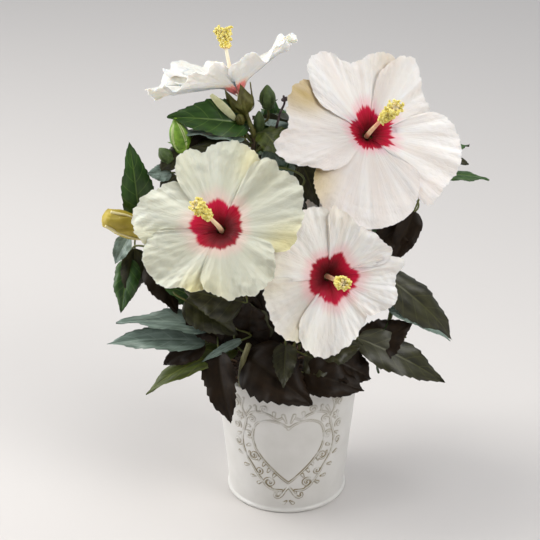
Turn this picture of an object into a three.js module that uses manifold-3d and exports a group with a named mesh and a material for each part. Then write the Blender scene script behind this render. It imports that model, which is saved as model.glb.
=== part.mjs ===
// Potted hibiscus in bloom: a pressed-metal pot, its compost, the short trunk with its boughs, the large
// blooms and buds, and the masses of foliage. Millimetres, +Z up, origin in the middle of the pot's
// underside, -Y towards the side that the blooms face.
import * as THREE from "three";
import { mergeVertices } from "three/addons/utils/BufferGeometryUtils.js";
import Module from "manifold-3d";

const wasm = await Module();
wasm.setup();

// Driving dimensions of the pot.
const POT_HEIGHT = 132;
const FOOT_RADIUS = 53.3;
const TOP_RADIUS = 65.8;
const WALL = 1.2;
const BEAD = 2;
const FOOT_FLAT = 52;
const UNDER_RIM = POT_HEIGHT - 4 * BEAD;
const ROUND_SIDES = 28;

// Driving dimensions of the plant.
const HEADROOM = 12;
const SOIL_TOP = POT_HEIGHT - HEADROOM;
const SOIL_FLAT = 24;
const SOIL_SAG = 1.5;
const GAP = 0.35;
const TRUNK_FOOT = [-6, 3, SOIL_TOP + GAP];
const FORK = [-9, 6, 158];
const TRUNK_RADIUS = 7;
const TRUNK_TAPER = 1.6;
const TRUNK_FLARE = 4;
const FLARE_HEIGHT = 12;
const BOUGH_RADIUS = 4.2;
const BOUGH_TIP_RADIUS = 2.2;
const LIMB_SIDES = 6;
const BOUGH_STEPS = 4;
const TRUNK_STEPS = 6;
const BUD_SIDES = 8;

// Driving dimensions of a bloom and of a bud.
const PETALS = 5;
const BLOOM_SIDES = 15;
const PETAL_LOBE = 0.07;
const PETAL_THICKNESS = 2.5;
const DISH_DEPTH = 16;
const DISH_BEND = [0.53, 0.56];
const STALK_RADIUS = 2.4;
const STALK_LENGTH = 46;
const CALYX_RADIUS = 8.5;
const CALYX_FROM = 18;
const CALYX_TO = 8;
const COLUMN_RADIUS = 3;
const COLUMN_LENGTH = 60;
const ANTHER_RADIUS = 6.5;
const ANTHERS_FROM = 42;
const ANTHERS_WIDEST = 50;
const BUD_SHAPE = [[0.8, 0.14], [1, 0.45], [0.7, 0.8]];
const BUD_STALK_RADIUS = 1.8;

// How uneven a mass of foliage is, and how finely its ball is divided.
const UNEVEN = 0.13;
const MASS_DETAIL = 2;

const COLOURS = {
  pot: new THREE.MeshStandardMaterial({ color: 0xe4e0db, roughness: 0.4, metalness: 0.1 }),
  soil: new THREE.MeshStandardMaterial({ color: 0x3a2a1e, roughness: 0.95, metalness: 0 }),
  bark: new THREE.MeshStandardMaterial({ color: 0x6b5238, roughness: 0.85, metalness: 0 }),
  petal: new THREE.MeshStandardMaterial({ color: 0xf4ece4, roughness: 0.6, metalness: 0 }),
  bud: new THREE.MeshStandardMaterial({ color: 0xc9bd55, roughness: 0.6, metalness: 0 }),
  leaf: new THREE.MeshStandardMaterial({ color: 0x2c3a22, roughness: 0.45, metalness: 0 }),
};

// The boughs leave the trunk near its fork, or a larger bough, and end where they enter a mass of foliage
// or meet a bloom.
const BOUGHS = {
  bough_front_left: [[-10, 3, 152], [-24, -22, 184], [-37, -32, 222], [-50, -22, 257]],
  bough_low_left: [[-12, 4, 146], [-34, -10, 164], [-58, -16, 178]],
  bough_left: [[-13, 6, 154], [-48, 8, 186], [-86, 8, 214], [-112, 8, 238]],
  bough_top_left: [[-10, 8, 160], [-22, 20, 220], [-30, 18, 290], [-30, 13, 342]],
  bough_top_right: [[-6, 8, 158], [18, 14, 214], [44, 28, 272], [61, 36, 320]],
  bough_right_top: [[45, 27, 266], [66, 30, 280], [88, 30, 294]],
  bough_right: [[-5, 4, 150], [32, -8, 168], [66, -12, 186], [84, -12, 202]],
  bough_front: [[-7, 1, 147], [6, -16, 176], [18, -22, 204], [26, -23, 226]],
  bough_back: [[-8, 10, 154], [4, 36, 178], [19, 60, 199]],
  bough_back_low: [[-9, 9, 147], [-11, 34, 165], [-8, 60, 178]],
  bough_back_top: [[-9, 10, 158], [-4, 36, 206], [0, 64, 244]],
  bough_back_left: [[-11, 9, 149], [-38, 36, 180], [-62, 56, 208]],
  bough_back_right: [[-5, 8, 146], [26, 32, 176], [60, 54, 200]],
};

// Each bloom: where its throat is, the way it faces, and its radius to the petals' edge.
const BLOOMS = {
  bloom_left: { throat: [-58, -60, 287], faces: [-0.14, -0.79, 0.585], radius: 71 },
  bloom_right: { throat: [69, 0, 349], faces: [0.11, -0.83, 0.53], radius: 76 },
  bloom_low: { throat: [35, -66, 244], faces: [0.18, -0.92, 0.33], radius: 64 },
  bloom_top: { throat: [-45, 28, 383], faces: [-0.33, 0.36, 0.87], radius: 69 },
  bloom_back: { throat: [28, 102, 216], faces: [0.15, 0.9, 0.38], radius: 62 },
};

// Closed buds: the foot of the stalk, the tip of the bud, its radius, and how long the bud itself is.
const BUDS = {
  bud_left: { foot: [-108, -2, 252], tip: [-162, -20, 281], radius: 11, long: 46 },
  bud_top: { foot: [-16, 22, 336], tip: [-17, 22, 386], radius: 7, long: 22 },
};

// Each mass of foliage: its middle, its half sizes, and the leaf tips that it reaches out to.
const MASSES = {
  leaves_centre: { at: [6, 4, 232], half: [58, 36, 54] },
  leaves_top: { at: [4, 38, 316], half: [46, 30, 36], tips: [[36, 44, 350]] },
  leaves_under_left: { at: [-62, -32, 204], half: [40, 24, 28], tips: [[-96, -38, 196]] },
  leaves_front_low: { at: [16, -38, 174], half: [50, 24, 22], tips: [[62, -40, 190]] },
  leaves_upper_left: {
    at: [-74, 20, 344], half: [36, 28, 26],
    tips: [[-104, 10, 361], [-108, 2, 326], [-40, 34, 372]],
  },
  leaves_left: { at: [-126, 8, 262], half: [20, 24, 34], tips: [[-137, 5, 337], [-148, 0, 232]] },
  leaves_left_hanging: { at: [-118, -2, 216], half: [20, 20, 20], tips: [[-146, -5, 181], [-91, -30, 193]] },
  leaves_low_left: { at: [-88, -22, 174], half: [40, 22, 11], tips: [[-151, -20, 185], [-157, -40, 166]] },
  leaves_low_left_tip: { at: [-78, -36, 152], half: [34, 16, 10], tips: [[-125, -45, 121]] },
  leaves_over_rim_left: { at: [-54, -60, 144], half: [21, 10, 24], tips: [[-50, -68, 101]] },
  leaves_over_rim_front: { at: [-4, -74, 146], half: [32, 10, 16], tips: [[20, -82, 122]] },
  leaves_over_rim_right: { at: [38, -62, 146], half: [32, 14, 12], tips: [[66, -64, 130]] },
  leaves_right_low: { at: [92, -20, 168], half: [38, 22, 20], tips: [[139, -30, 123], [148, -10, 157]] },
  leaves_right: { at: [96, -2, 228], half: [30, 26, 32], tips: [[112, -10, 278]] },
  leaves_right_top: { at: [112, 30, 300], half: [34, 24, 24], tips: [[182, 40, 292]] },
  leaves_crown_back: { at: [-24, 74, 322], half: [46, 30, 28], tips: [[-60, 96, 348]] },
  leaves_back: { at: [2, 88, 264], half: [50, 32, 40], tips: [[-8, 132, 292]] },
  leaves_back_left: { at: [-78, 66, 244], half: [42, 38, 50], tips: [[-116, 92, 268]] },
  leaves_back_right: { at: [86, 66, 240], half: [42, 36, 44], tips: [[128, 88, 262]] },
  leaves_back_low: { at: [-6, 84, 180], half: [54, 32, 16], tips: [[-26, 128, 150], [44, 120, 156]] },
  leaves_back_low_right: { at: [72, 48, 178], half: [42, 28, 14], tips: [[122, 60, 142]] },
  leaves_back_low_left: { at: [-74, 44, 179], half: [40, 28, 14], tips: [[-122, 60, 148]] },
};

const vector = (p) => new THREE.Vector3(...p);
const potRadius = (z) =>
  FOOT_RADIUS + ((TOP_RADIUS - FOOT_RADIUS) * (z - BEAD)) / (POT_HEIGHT - 2 * BEAD);

// A closed geometry as a solid, with its shared vertices merged.
function solid(geometry) {
  const bare = geometry.clone();
  bare.deleteAttribute("normal");
  bare.deleteAttribute("uv");
  const merged = mergeVertices(bare, 1e-3);
  return new wasm.Manifold(
    new wasm.Mesh({
      numProp: 3,
      vertProperties: merged.attributes.position.array,
      triVerts: new Uint32Array(merged.index.array),
    }),
  );
}

// A solid as a named mesh that stands at the given place.
function mesh(name, body, material, place) {
  const data = body.getMesh();
  const geometry = new THREE.BufferGeometry();
  geometry.setAttribute("position", new THREE.BufferAttribute(data.vertProperties, 3));
  geometry.setIndex(new THREE.BufferAttribute(data.triVerts, 1));
  geometry.translate(-place[0], -place[1], -place[2]);
  geometry.computeVertexNormals();
  const made = new THREE.Mesh(geometry, material);
  made.name = name;
  made.position.set(...place);
  return made;
}

// A turned body from its (radius, height) profile, with its axis along +Z.
function turned(profile, sides) {
  const points = profile.map(([r, z]) => new THREE.Vector2(r, z));
  return new THREE.LatheGeometry(points, sides).rotateX(Math.PI / 2);
}

// Points on a bead's round section, from one angle to another, in degrees.
function beadArc(r, z, radius, from, to, steps) {
  return Array.from({ length: steps + 1 }, (_, i) => {
    const angle = THREE.MathUtils.degToRad(from + ((to - from) * i) / steps);
    return [r + radius * Math.cos(angle), z + radius * Math.sin(angle)];
  });
}

// The pot: a tapering sheet-metal wall with a bead rolled at its foot and at its rim.
function pot(grow) {
  const radius = BEAD + grow;
  return turned(
    [
      [0, -grow],
      [FOOT_FLAT, -grow],
      ...beadArc(FOOT_RADIUS, BEAD, radius, -60, 60, 3),
      ...beadArc(TOP_RADIUS, POT_HEIGHT - BEAD, radius, -60, 180, 5),
      [potRadius(UNDER_RIM) - WALL - grow, UNDER_RIM],
      [FOOT_RADIUS - WALL - grow, WALL + grow],
      [0, WALL + grow],
    ],
    ROUND_SIDES,
  );
}

// The compost: fills the pot to just under its rim, flat round the trunk and a little lower at the wall.
function soil(grow) {
  const inside = (z) => potRadius(z) - WALL - GAP + grow;
  return turned(
    [
      [0, WALL + GAP - grow],
      [inside(BEAD), WALL + GAP - grow],
      [inside(SOIL_TOP - SOIL_SAG), SOIL_TOP - SOIL_SAG + grow],
      [SOIL_FLAT, SOIL_TOP + grow],
      [0, SOIL_TOP + grow],
    ],
    ROUND_SIDES,
  );
}

// A limb: a cylinder bent along a smooth curve, its radius given along its length from 0 to 1.
function limb(points, radiusAt, steps) {
  const curve = new THREE.CatmullRomCurve3(points.map(vector), false, "centripetal");
  const frames = curve.computeFrenetFrames(steps);
  const geometry = new THREE.CylinderGeometry(1, 1, 1, LIMB_SIDES, steps);
  const corners = geometry.attributes.position;
  for (let i = 0; i < corners.count; i++) {
    const along = corners.getY(i) + 0.5;
    const step = Math.round(along * steps);
    const radius = radiusAt(along);
    const place = curve.getPointAt(along);
    place.addScaledVector(frames.normals[step], corners.getX(i) * radius);
    place.addScaledVector(frames.binormals[step], -corners.getZ(i) * radius);
    corners.setXYZ(i, place.x, place.y, place.z);
  }
  return geometry;
}

// The trunk: leans a little to its fork and flares where it meets the compost.
function trunk(grow) {
  const rise = FORK[2] - TRUNK_FOOT[2];
  const middle = [TRUNK_FOOT[0], TRUNK_FOOT[1], TRUNK_FOOT[2] + rise / 3];
  const flare = (along) => TRUNK_FLARE * Math.max(0, 1 - (along * rise) / FLARE_HEIGHT) ** 2;
  const radius = (along) => TRUNK_RADIUS - TRUNK_TAPER * along + flare(along) + grow;
  return limb([TRUNK_FOOT, middle, FORK], radius, TRUNK_STEPS);
}

// A bough: one tapering limb from the wood that it leaves to its end.
function bough(points, grow) {
  const radius = (along) => THREE.MathUtils.lerp(BOUGH_RADIUS, BOUGH_TIP_RADIUS, along) + grow;
  return limb(points, radius, BOUGH_STEPS);
}

// A bloom along +Z with its throat at the origin: a shallow five-lobed dish of petals on a calyx and
// stalk, with the long staminal column standing in the middle.
function bloom({ throat, faces, radius }, grow) {
  const bend = [radius * DISH_BEND[0], DISH_DEPTH * DISH_BEND[1]];
  const profile = [
    [0, -STALK_LENGTH - grow],
    [STALK_RADIUS + grow, -STALK_LENGTH - grow],
    [STALK_RADIUS + grow, -CALYX_FROM - CALYX_RADIUS],
    [CALYX_RADIUS + grow, -CALYX_FROM],
    [CALYX_RADIUS + grow, -CALYX_TO],
    [bend[0], bend[1] - grow],
    [radius + grow, DISH_DEPTH - grow],
    [radius + grow, DISH_DEPTH + PETAL_THICKNESS + grow],
    [bend[0], bend[1] + PETAL_THICKNESS + grow],
    [COLUMN_RADIUS + grow, grow],
    [COLUMN_RADIUS + grow, ANTHERS_FROM],
    [ANTHER_RADIUS + grow, ANTHERS_WIDEST],
    [0, COLUMN_LENGTH + grow],
  ];
  const geometry = turned(profile, BLOOM_SIDES);
  const corners = geometry.attributes.position;
  for (let i = 0; i < corners.count; i++) {
    const [x, y] = [corners.getX(i), corners.getY(i)];
    const onPetal = Math.hypot(x, y) > 2 * CALYX_RADIUS;
    const lobe = onPetal ? 1 + PETAL_LOBE * Math.cos(PETALS * Math.atan2(y, x)) : 1;
    corners.setXY(i, x * lobe, y * lobe);
  }
  const turn = new THREE.Quaternion().setFromUnitVectors(vector([0, 0, 1]), vector(faces).normalize());
  return geometry.applyQuaternion(turn).translate(...throat);
}

// A closed bud on its stalk, from the stalk's foot to the bud's tip.
function bud({ foot, tip, radius, long }, grow) {
  const way = vector(tip).sub(vector(foot));
  const length = way.length();
  const profile = [
    [0, -grow],
    [BUD_STALK_RADIUS + grow, -grow],
    [BUD_STALK_RADIUS + grow, length - long],
    ...BUD_SHAPE.map(([wide, along]) => [radius * wide + grow, length - long * (1 - along)]),
    [0, length + grow],
  ];
  const turn = new THREE.Quaternion().setFromUnitVectors(vector([0, 0, 1]), way.normalize());
  return turned(profile, BUD_SIDES).applyQuaternion(turn).translate(...foot);
}

// An uneven factor near 1 for a direction, different for each mass: a broad wave and a finer one.
function uneven(way, seed) {
  const across = Math.sin(3.3 * way.x + seed) * Math.sin(2.9 * way.y + 1.7 * seed);
  const broad = across * Math.cos(3.7 * way.z - seed);
  const fine = Math.sin(7.1 * way.x - 2 * seed) * Math.sin(6.3 * way.z + 1.3 * seed);
  return 1 + UNEVEN * (1.2 * broad + 0.6 * fine);
}

// A mass of foliage: an uneven ball that is drawn out to a point at each of its furthest leaf tips.
function mass({ at, half, tips = [] }, seed, grow) {
  const geometry = new THREE.IcosahedronGeometry(1, MASS_DETAIL);
  const corners = geometry.attributes.position;
  const middle = vector(at);
  const reaches = tips.map((tip) => {
    const way = vector(tip).sub(middle);
    const far = way.length();
    way.normalize();
    let nearest = new THREE.Vector3();
    for (let i = 0; i < corners.count; i++) {
      const corner = new THREE.Vector3().fromBufferAttribute(corners, i);
      if (corner.dot(way) > nearest.dot(way)) nearest = corner;
    }
    return { way, far, nearest };
  });
  for (let i = 0; i < corners.count; i++) {
    const corner = new THREE.Vector3().fromBufferAttribute(corners, i);
    const place = corner.clone().multiply(vector(half)).multiplyScalar(uneven(corner, seed));
    for (const { way, far, nearest } of reaches) {
      if (corner.distanceTo(nearest) < 1e-3) place.copy(way).multiplyScalar(far);
    }
    place.addScaledVector(corner, grow).add(middle);
    corners.setXYZ(i, place.x, place.y, place.z);
  }
  return geometry;
}

const group = new THREE.Group();
const placed = [];

// Adds a part after cutting it clear of every part that is already there, and keeps its largest piece.
function place(name, make, material, at) {
  let body = solid(make(0));
  for (const other of placed) body = body.subtract(other);
  const pieces = body.decompose().sort((a, b) => b.volume() - a.volume());
  group.add(mesh(name, pieces[0], material, at));
  placed.push(solid(make(GAP)));
}

// The pot and the compost in it fit by their own sizes and need no cutting.
group.add(mesh("pot", solid(pot(0)), COLOURS.pot, [0, 0, 0]));
group.add(mesh("soil", solid(soil(0)), COLOURS.soil, [0, 0, 0]));
placed.push(solid(pot(GAP)), solid(soil(GAP)));

group.add(mesh("trunk", solid(trunk(0)), COLOURS.bark, TRUNK_FOOT));
placed.push(solid(trunk(GAP)));
for (const [name, points] of Object.entries(BOUGHS)) {
  place(name, (grow) => bough(points, grow), COLOURS.bark, points[0]);
}
for (const [name, spec] of Object.entries(BLOOMS)) {
  place(name, (grow) => bloom(spec, grow), COLOURS.petal, spec.throat);
}
for (const [name, spec] of Object.entries(BUDS)) {
  place(name, (grow) => bud(spec, grow), COLOURS.bud, spec.foot);
}
Object.entries(MASSES).forEach(([name, spec], index) => {
  place(name, (grow) => mass(spec, index + 1, grow), COLOURS.leaf, spec.at);
});

export default group;
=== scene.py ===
import math

import bpy
import numpy as np
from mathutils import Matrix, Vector
from mathutils.bvhtree import BVHTree


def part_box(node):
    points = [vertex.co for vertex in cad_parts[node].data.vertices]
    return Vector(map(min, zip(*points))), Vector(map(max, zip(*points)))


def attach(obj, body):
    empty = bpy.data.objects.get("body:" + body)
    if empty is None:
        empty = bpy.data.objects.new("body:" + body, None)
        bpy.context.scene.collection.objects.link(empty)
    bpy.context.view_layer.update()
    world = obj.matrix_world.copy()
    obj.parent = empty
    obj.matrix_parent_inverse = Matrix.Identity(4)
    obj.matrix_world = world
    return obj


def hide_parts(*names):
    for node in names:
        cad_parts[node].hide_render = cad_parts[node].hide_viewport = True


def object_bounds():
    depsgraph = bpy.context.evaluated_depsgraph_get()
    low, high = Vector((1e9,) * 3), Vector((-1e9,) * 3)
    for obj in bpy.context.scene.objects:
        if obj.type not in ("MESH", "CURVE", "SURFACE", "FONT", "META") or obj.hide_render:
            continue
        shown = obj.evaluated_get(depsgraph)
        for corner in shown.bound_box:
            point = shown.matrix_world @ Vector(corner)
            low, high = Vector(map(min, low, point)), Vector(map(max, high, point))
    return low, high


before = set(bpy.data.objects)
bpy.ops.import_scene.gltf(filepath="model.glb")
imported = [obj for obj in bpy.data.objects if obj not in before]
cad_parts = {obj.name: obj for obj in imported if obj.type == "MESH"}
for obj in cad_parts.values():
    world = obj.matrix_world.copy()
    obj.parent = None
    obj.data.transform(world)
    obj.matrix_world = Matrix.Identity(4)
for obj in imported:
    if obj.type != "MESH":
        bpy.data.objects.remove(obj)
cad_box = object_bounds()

# Sizes are in millimetres until a mesh is made. The blooms face -Y, where the camera stands.
MM = 0.001
SEED = 41

# A leaf's side veins: how many pairs leave the midrib, and how steeply they run towards its tip
VEIN_PAIRS = 6
VEIN_LEAN = 2.5

# The pot: pressed sheet with a bead rolled at foot and rim
POT_HEIGHT = 132
FOOT_RADIUS, TOP_RADIUS = 53.3, 65.8
BEAD = 2
SHEET = 0.6
SOIL_TOP = 120
CRUMBS, BARK_CHIPS = 620, 60

# The wood: each bough's route from the trunk to the foliage or bloom that it carries
TRUNK = [(-6, 3, 117), (-6, 3, 132), (-9, 6, 161)]
TRUNK_RADIUS, FORK_RADIUS, FLARE = 7.0, 5.4, 4.0
BOUGH_RADIUS, BOUGH_TIP_RADIUS = 4.2, 2.2
# How many units of the bark's pattern go into a millimetre
BARK_STEPS = 0.35
BOUGHS = {
    "bough_front_left": [(-10, 3, 152), (-24, -22, 184), (-37, -32, 222), (-50, -22, 257)],
    "bough_low_left": [(-12, 4, 146), (-34, -10, 164), (-58, -16, 178)],
    "bough_left": [(-13, 6, 154), (-48, 8, 186), (-86, 8, 214), (-112, 8, 238)],
    "bough_top_left": [(-10, 8, 160), (-22, 20, 220), (-30, 18, 290), (-30, 13, 342)],
    "bough_top_right": [(-6, 8, 158), (18, 14, 214), (44, 28, 272), (61, 36, 320)],
    "bough_right_top": [(45, 27, 266), (66, 30, 280), (88, 30, 294)],
    "bough_right": [(-5, 4, 150), (32, -8, 168), (66, -12, 186), (84, -12, 202)],
    "bough_front": [(-7, 1, 147), (6, -16, 176), (18, -22, 204), (26, -23, 226)],
    "bough_back": [(-8, 10, 154), (4, 36, 178), (19, 60, 199)],
    "bough_back_low": [(-9, 9, 147), (-11, 34, 165), (-8, 60, 178)],
    "bough_back_top": [(-9, 10, 158), (-4, 36, 206), (0, 64, 244)],
    "bough_back_left": [(-11, 9, 149), (-38, 36, 180), (-62, 56, 208)],
    "bough_back_right": [(-5, 8, 146), (26, 32, 176), (60, 54, 200)],
}


# Colours and materials


def linear(code):
    """An sRGB hex colour as the linear numbers that the shaders take."""
    parts = [int(code[i : i + 2], 16) / 255 for i in (0, 2, 4)]
    return [p / 12.92 if p <= 0.04045 else ((p + 0.055) / 1.055) ** 2.4 for p in parts] + [1.0]


def feed(tree, node, sockets):
    """Gives each named or numbered input a value, a hex colour or another node's output."""
    for name, value in sockets.items():
        if isinstance(value, bpy.types.NodeSocket):
            tree.links.new(value, node.inputs[name])
        else:
            node.inputs[name].default_value = linear(value) if isinstance(value, str) else value


def add(tree, kind, sockets=None, stops=(), **settings):
    """Adds a shader node with its settings and inputs, and a colour ramp's (position, hex) stops."""
    node = tree.nodes.new("ShaderNode" + kind)
    for name, value in settings.items():
        setattr(node, name, value)
    while stops and len(node.color_ramp.elements) < len(stops):
        node.color_ramp.elements.new(0.5)
    for index, (position, code) in enumerate(stops):
        node.color_ramp.elements[index].position = position
        node.color_ramp.elements[index].color = linear(code)
    feed(tree, node, sockets or {})
    return node


def start_material(name, sockets):
    """A material with one Principled shader and the inputs that are the same all over."""
    material = bpy.data.materials.new(name)
    material.use_nodes = True
    shader = material.node_tree.nodes["Principled BSDF"]
    feed(material.node_tree, shader, sockets)
    return material, material.node_tree, shader


def enamel():
    """Cream-white satin enamel sprayed on pressed steel sheet, with a tan wash wiped into the embossing.
    The eye sees a soft even white with a faint orange-peel, and thin brown lines beside each ridge."""
    sockets = {"Coat Weight": 0.2, "Coat Roughness": 0.3}
    material, tree, shader = start_material("satin_enamel_on_pressed_steel", sockets)
    wash = add(tree, "Attribute", attribute_name="wash").outputs["Fac"]
    place = add(tree, "TexCoord").outputs["Object"]
    cloud = add(tree, "TexNoise", {"Vector": place, "Scale": 1 / (24 * MM), "Detail": 3.0}).outputs["Fac"]
    worn = add(tree, "TexNoise", {"Vector": place, "Scale": 1 / (9 * MM), "Detail": 4.0}).outputs["Fac"]
    kept = add(tree, "MapRange", {"Value": worn, "From Min": 0.34, "From Max": 0.52}).outputs["Result"]
    amount = add(tree, "Math", {0: wash, 1: kept}, operation="MULTIPLY").outputs[0]
    body = add(tree, "ValToRGB", {"Fac": cloud}, [(0.3, "D3D1CC"), (0.7, "DDDBD7")]).outputs["Color"]
    gloss = add(tree, "MapRange", {"Value": amount, "To Min": 0.36, "To Max": 0.62}).outputs["Result"]
    peel = add(tree, "TexNoise", {"Vector": place, "Scale": 1 / (1.6 * MM), "Detail": 2.0}).outputs["Fac"]
    bumps = add(tree, "Bump", {"Height": peel, "Distance": 0.04 * MM}).outputs["Normal"]
    colour = add(tree, "Mix", {0: amount, 6: body, 7: "746228"}, data_type="RGBA").outputs[2]
    feed(tree, shader, {"Base Color": colour, "Roughness": gloss, "Normal": bumps})
    return material


def compost():
    """Moist bark and peat compost, sieved: nearly black crumbs with paler fibres, no shine."""
    material, tree, shader = start_material("moist_bark_compost", {"Roughness": 0.92})
    place = add(tree, "TexCoord").outputs["Object"]
    grain = add(tree, "TexNoise", {"Vector": place, "Scale": 1 / (3 * MM), "Detail": 6.0}).outputs["Fac"]
    tones = [(0.3, "1B120C"), (0.55, "35251A"), (0.75, "5B4330")]
    colour = add(tree, "ValToRGB", {"Fac": grain}, tones).outputs["Color"]
    bumps = add(tree, "Bump", {"Height": grain, "Distance": 0.8 * MM}).outputs["Normal"]
    feed(tree, shader, {"Base Color": colour, "Normal": bumps})
    return material


def bark():
    """Thin grey-brown bark, split lengthways, with pale breathing pores."""
    material, tree, shader = start_material("split_grey_brown_bark", {"Roughness": 0.82})
    place = add(tree, "Attribute", attribute_name="place").outputs["Vector"]
    streak = add(tree, "Mapping", {"Vector": place, "Scale": (1.0, 0.16, 1.0)}).outputs["Vector"]
    grain = add(tree, "TexNoise", {"Vector": streak, "Scale": 1.3, "Detail": 5.0}).outputs["Fac"]
    pores = add(tree, "TexVoronoi", {"Vector": place, "Scale": 0.4}).outputs["Distance"]
    tones = [(0.3, "2C2118"), (0.55, "5B4A38"), (0.75, "857256")]
    skin = add(tree, "ValToRGB", {"Fac": grain}, tones).outputs["Color"]
    limits = {"Value": pores, "From Min": 0.14, "From Max": 0.22, "To Min": 0.8, "To Max": 0.0}
    spots = add(tree, "MapRange", limits).outputs["Result"]
    colour = add(tree, "Mix", {0: spots, 6: skin, 7: "9A8A6E"}, data_type="RGBA").outputs[2]
    bumps = add(tree, "Bump", {"Height": grain, "Distance": 0.5 * MM}).outputs["Normal"]
    feed(tree, shader, {"Base Color": colour, "Normal": bumps})
    return material


def leaf_face(name, skin, vein, roughness, shine=0.4):
    """The upper face of a hibiscus leaf: waxy, paler along the midrib and side veins, with a finely
    pitted skin between them. skin is its darker and lighter tone."""
    sockets = {"Roughness": roughness, "Specular IOR Level": shine}
    material, tree, shader = start_material(name, sockets)
    place = add(tree, "Attribute", attribute_name="place").outputs["Vector"]
    across, along, _ = add(tree, "SeparateXYZ", {0: place}).outputs
    side = add(tree, "Math", {0: across}, operation="ABSOLUTE").outputs[0]
    lean = add(tree, "Math", {0: side, 1: -VEIN_LEAN}, operation="MULTIPLY").outputs[0]
    count = {0: along, 1: 2.0 * VEIN_PAIRS, 2: lean}
    count = add(tree, "Math", count, operation="MULTIPLY_ADD").outputs[0]
    wave = add(tree, "Math", {0: count, 1: 1.0}, operation="PINGPONG").outputs[0]
    limits = {"Value": wave, "From Min": 0.12, "From Max": 0.0, "To Max": 0.5}
    lateral = add(tree, "MapRange", limits).outputs["Result"]
    limits = {"Value": side, "From Min": 0.07, "From Max": 0.0, "To Max": 0.8}
    middle = add(tree, "MapRange", limits).outputs["Result"]
    lines = add(tree, "Math", {0: lateral, 1: middle}, operation="MAXIMUM").outputs[0]
    shift = add(tree, "Mapping", {"Vector": place, "Scale": (3.0, 4.0, 40.0)}).outputs["Vector"]
    patch = add(tree, "TexNoise", {"Vector": shift, "Scale": 1.2, "Detail": 4.0}).outputs["Fac"]
    tone = add(tree, "MapRange", {"Value": patch, "From Min": 0.3, "From Max": 0.7}).outputs["Result"]
    body = add(tree, "Mix", {0: tone, 6: skin[0], 7: skin[1]}, data_type="RGBA").outputs[2]
    colour = add(tree, "Mix", {0: lines, 6: body, 7: vein}, data_type="RGBA").outputs[2]
    pits = add(tree, "TexNoise", {"Vector": shift, "Scale": 9.0, "Detail": 2.0}).outputs["Fac"]
    bumps = add(tree, "Bump", {"Height": pits, "Distance": 0.12 * MM}).outputs["Normal"]
    feed(tree, shader, {"Base Color": colour, "Normal": bumps})
    return material


def leaf_back():
    """The leaf's underside: matt, paler and greyer than its face."""
    material, tree, shader = start_material("leaf_underside", {"Roughness": 0.62})
    place = add(tree, "Attribute", attribute_name="place").outputs["Vector"]
    shift = add(tree, "Mapping", {"Vector": place, "Scale": (3.0, 5.0, 40.0)}).outputs["Vector"]
    patch = add(tree, "TexNoise", {"Vector": shift, "Scale": 1.5, "Detail": 3.0}).outputs["Fac"]
    colour = add(tree, "ValToRGB", {"Fac": patch}, [(0.35, "2A2A18"), (0.65, "454628")]).outputs["Color"]
    bumps = add(tree, "Bump", {"Height": patch, "Distance": 0.3 * MM}).outputs["Normal"]
    feed(tree, shader, {"Base Color": colour, "Normal": bumps})
    return material


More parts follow.
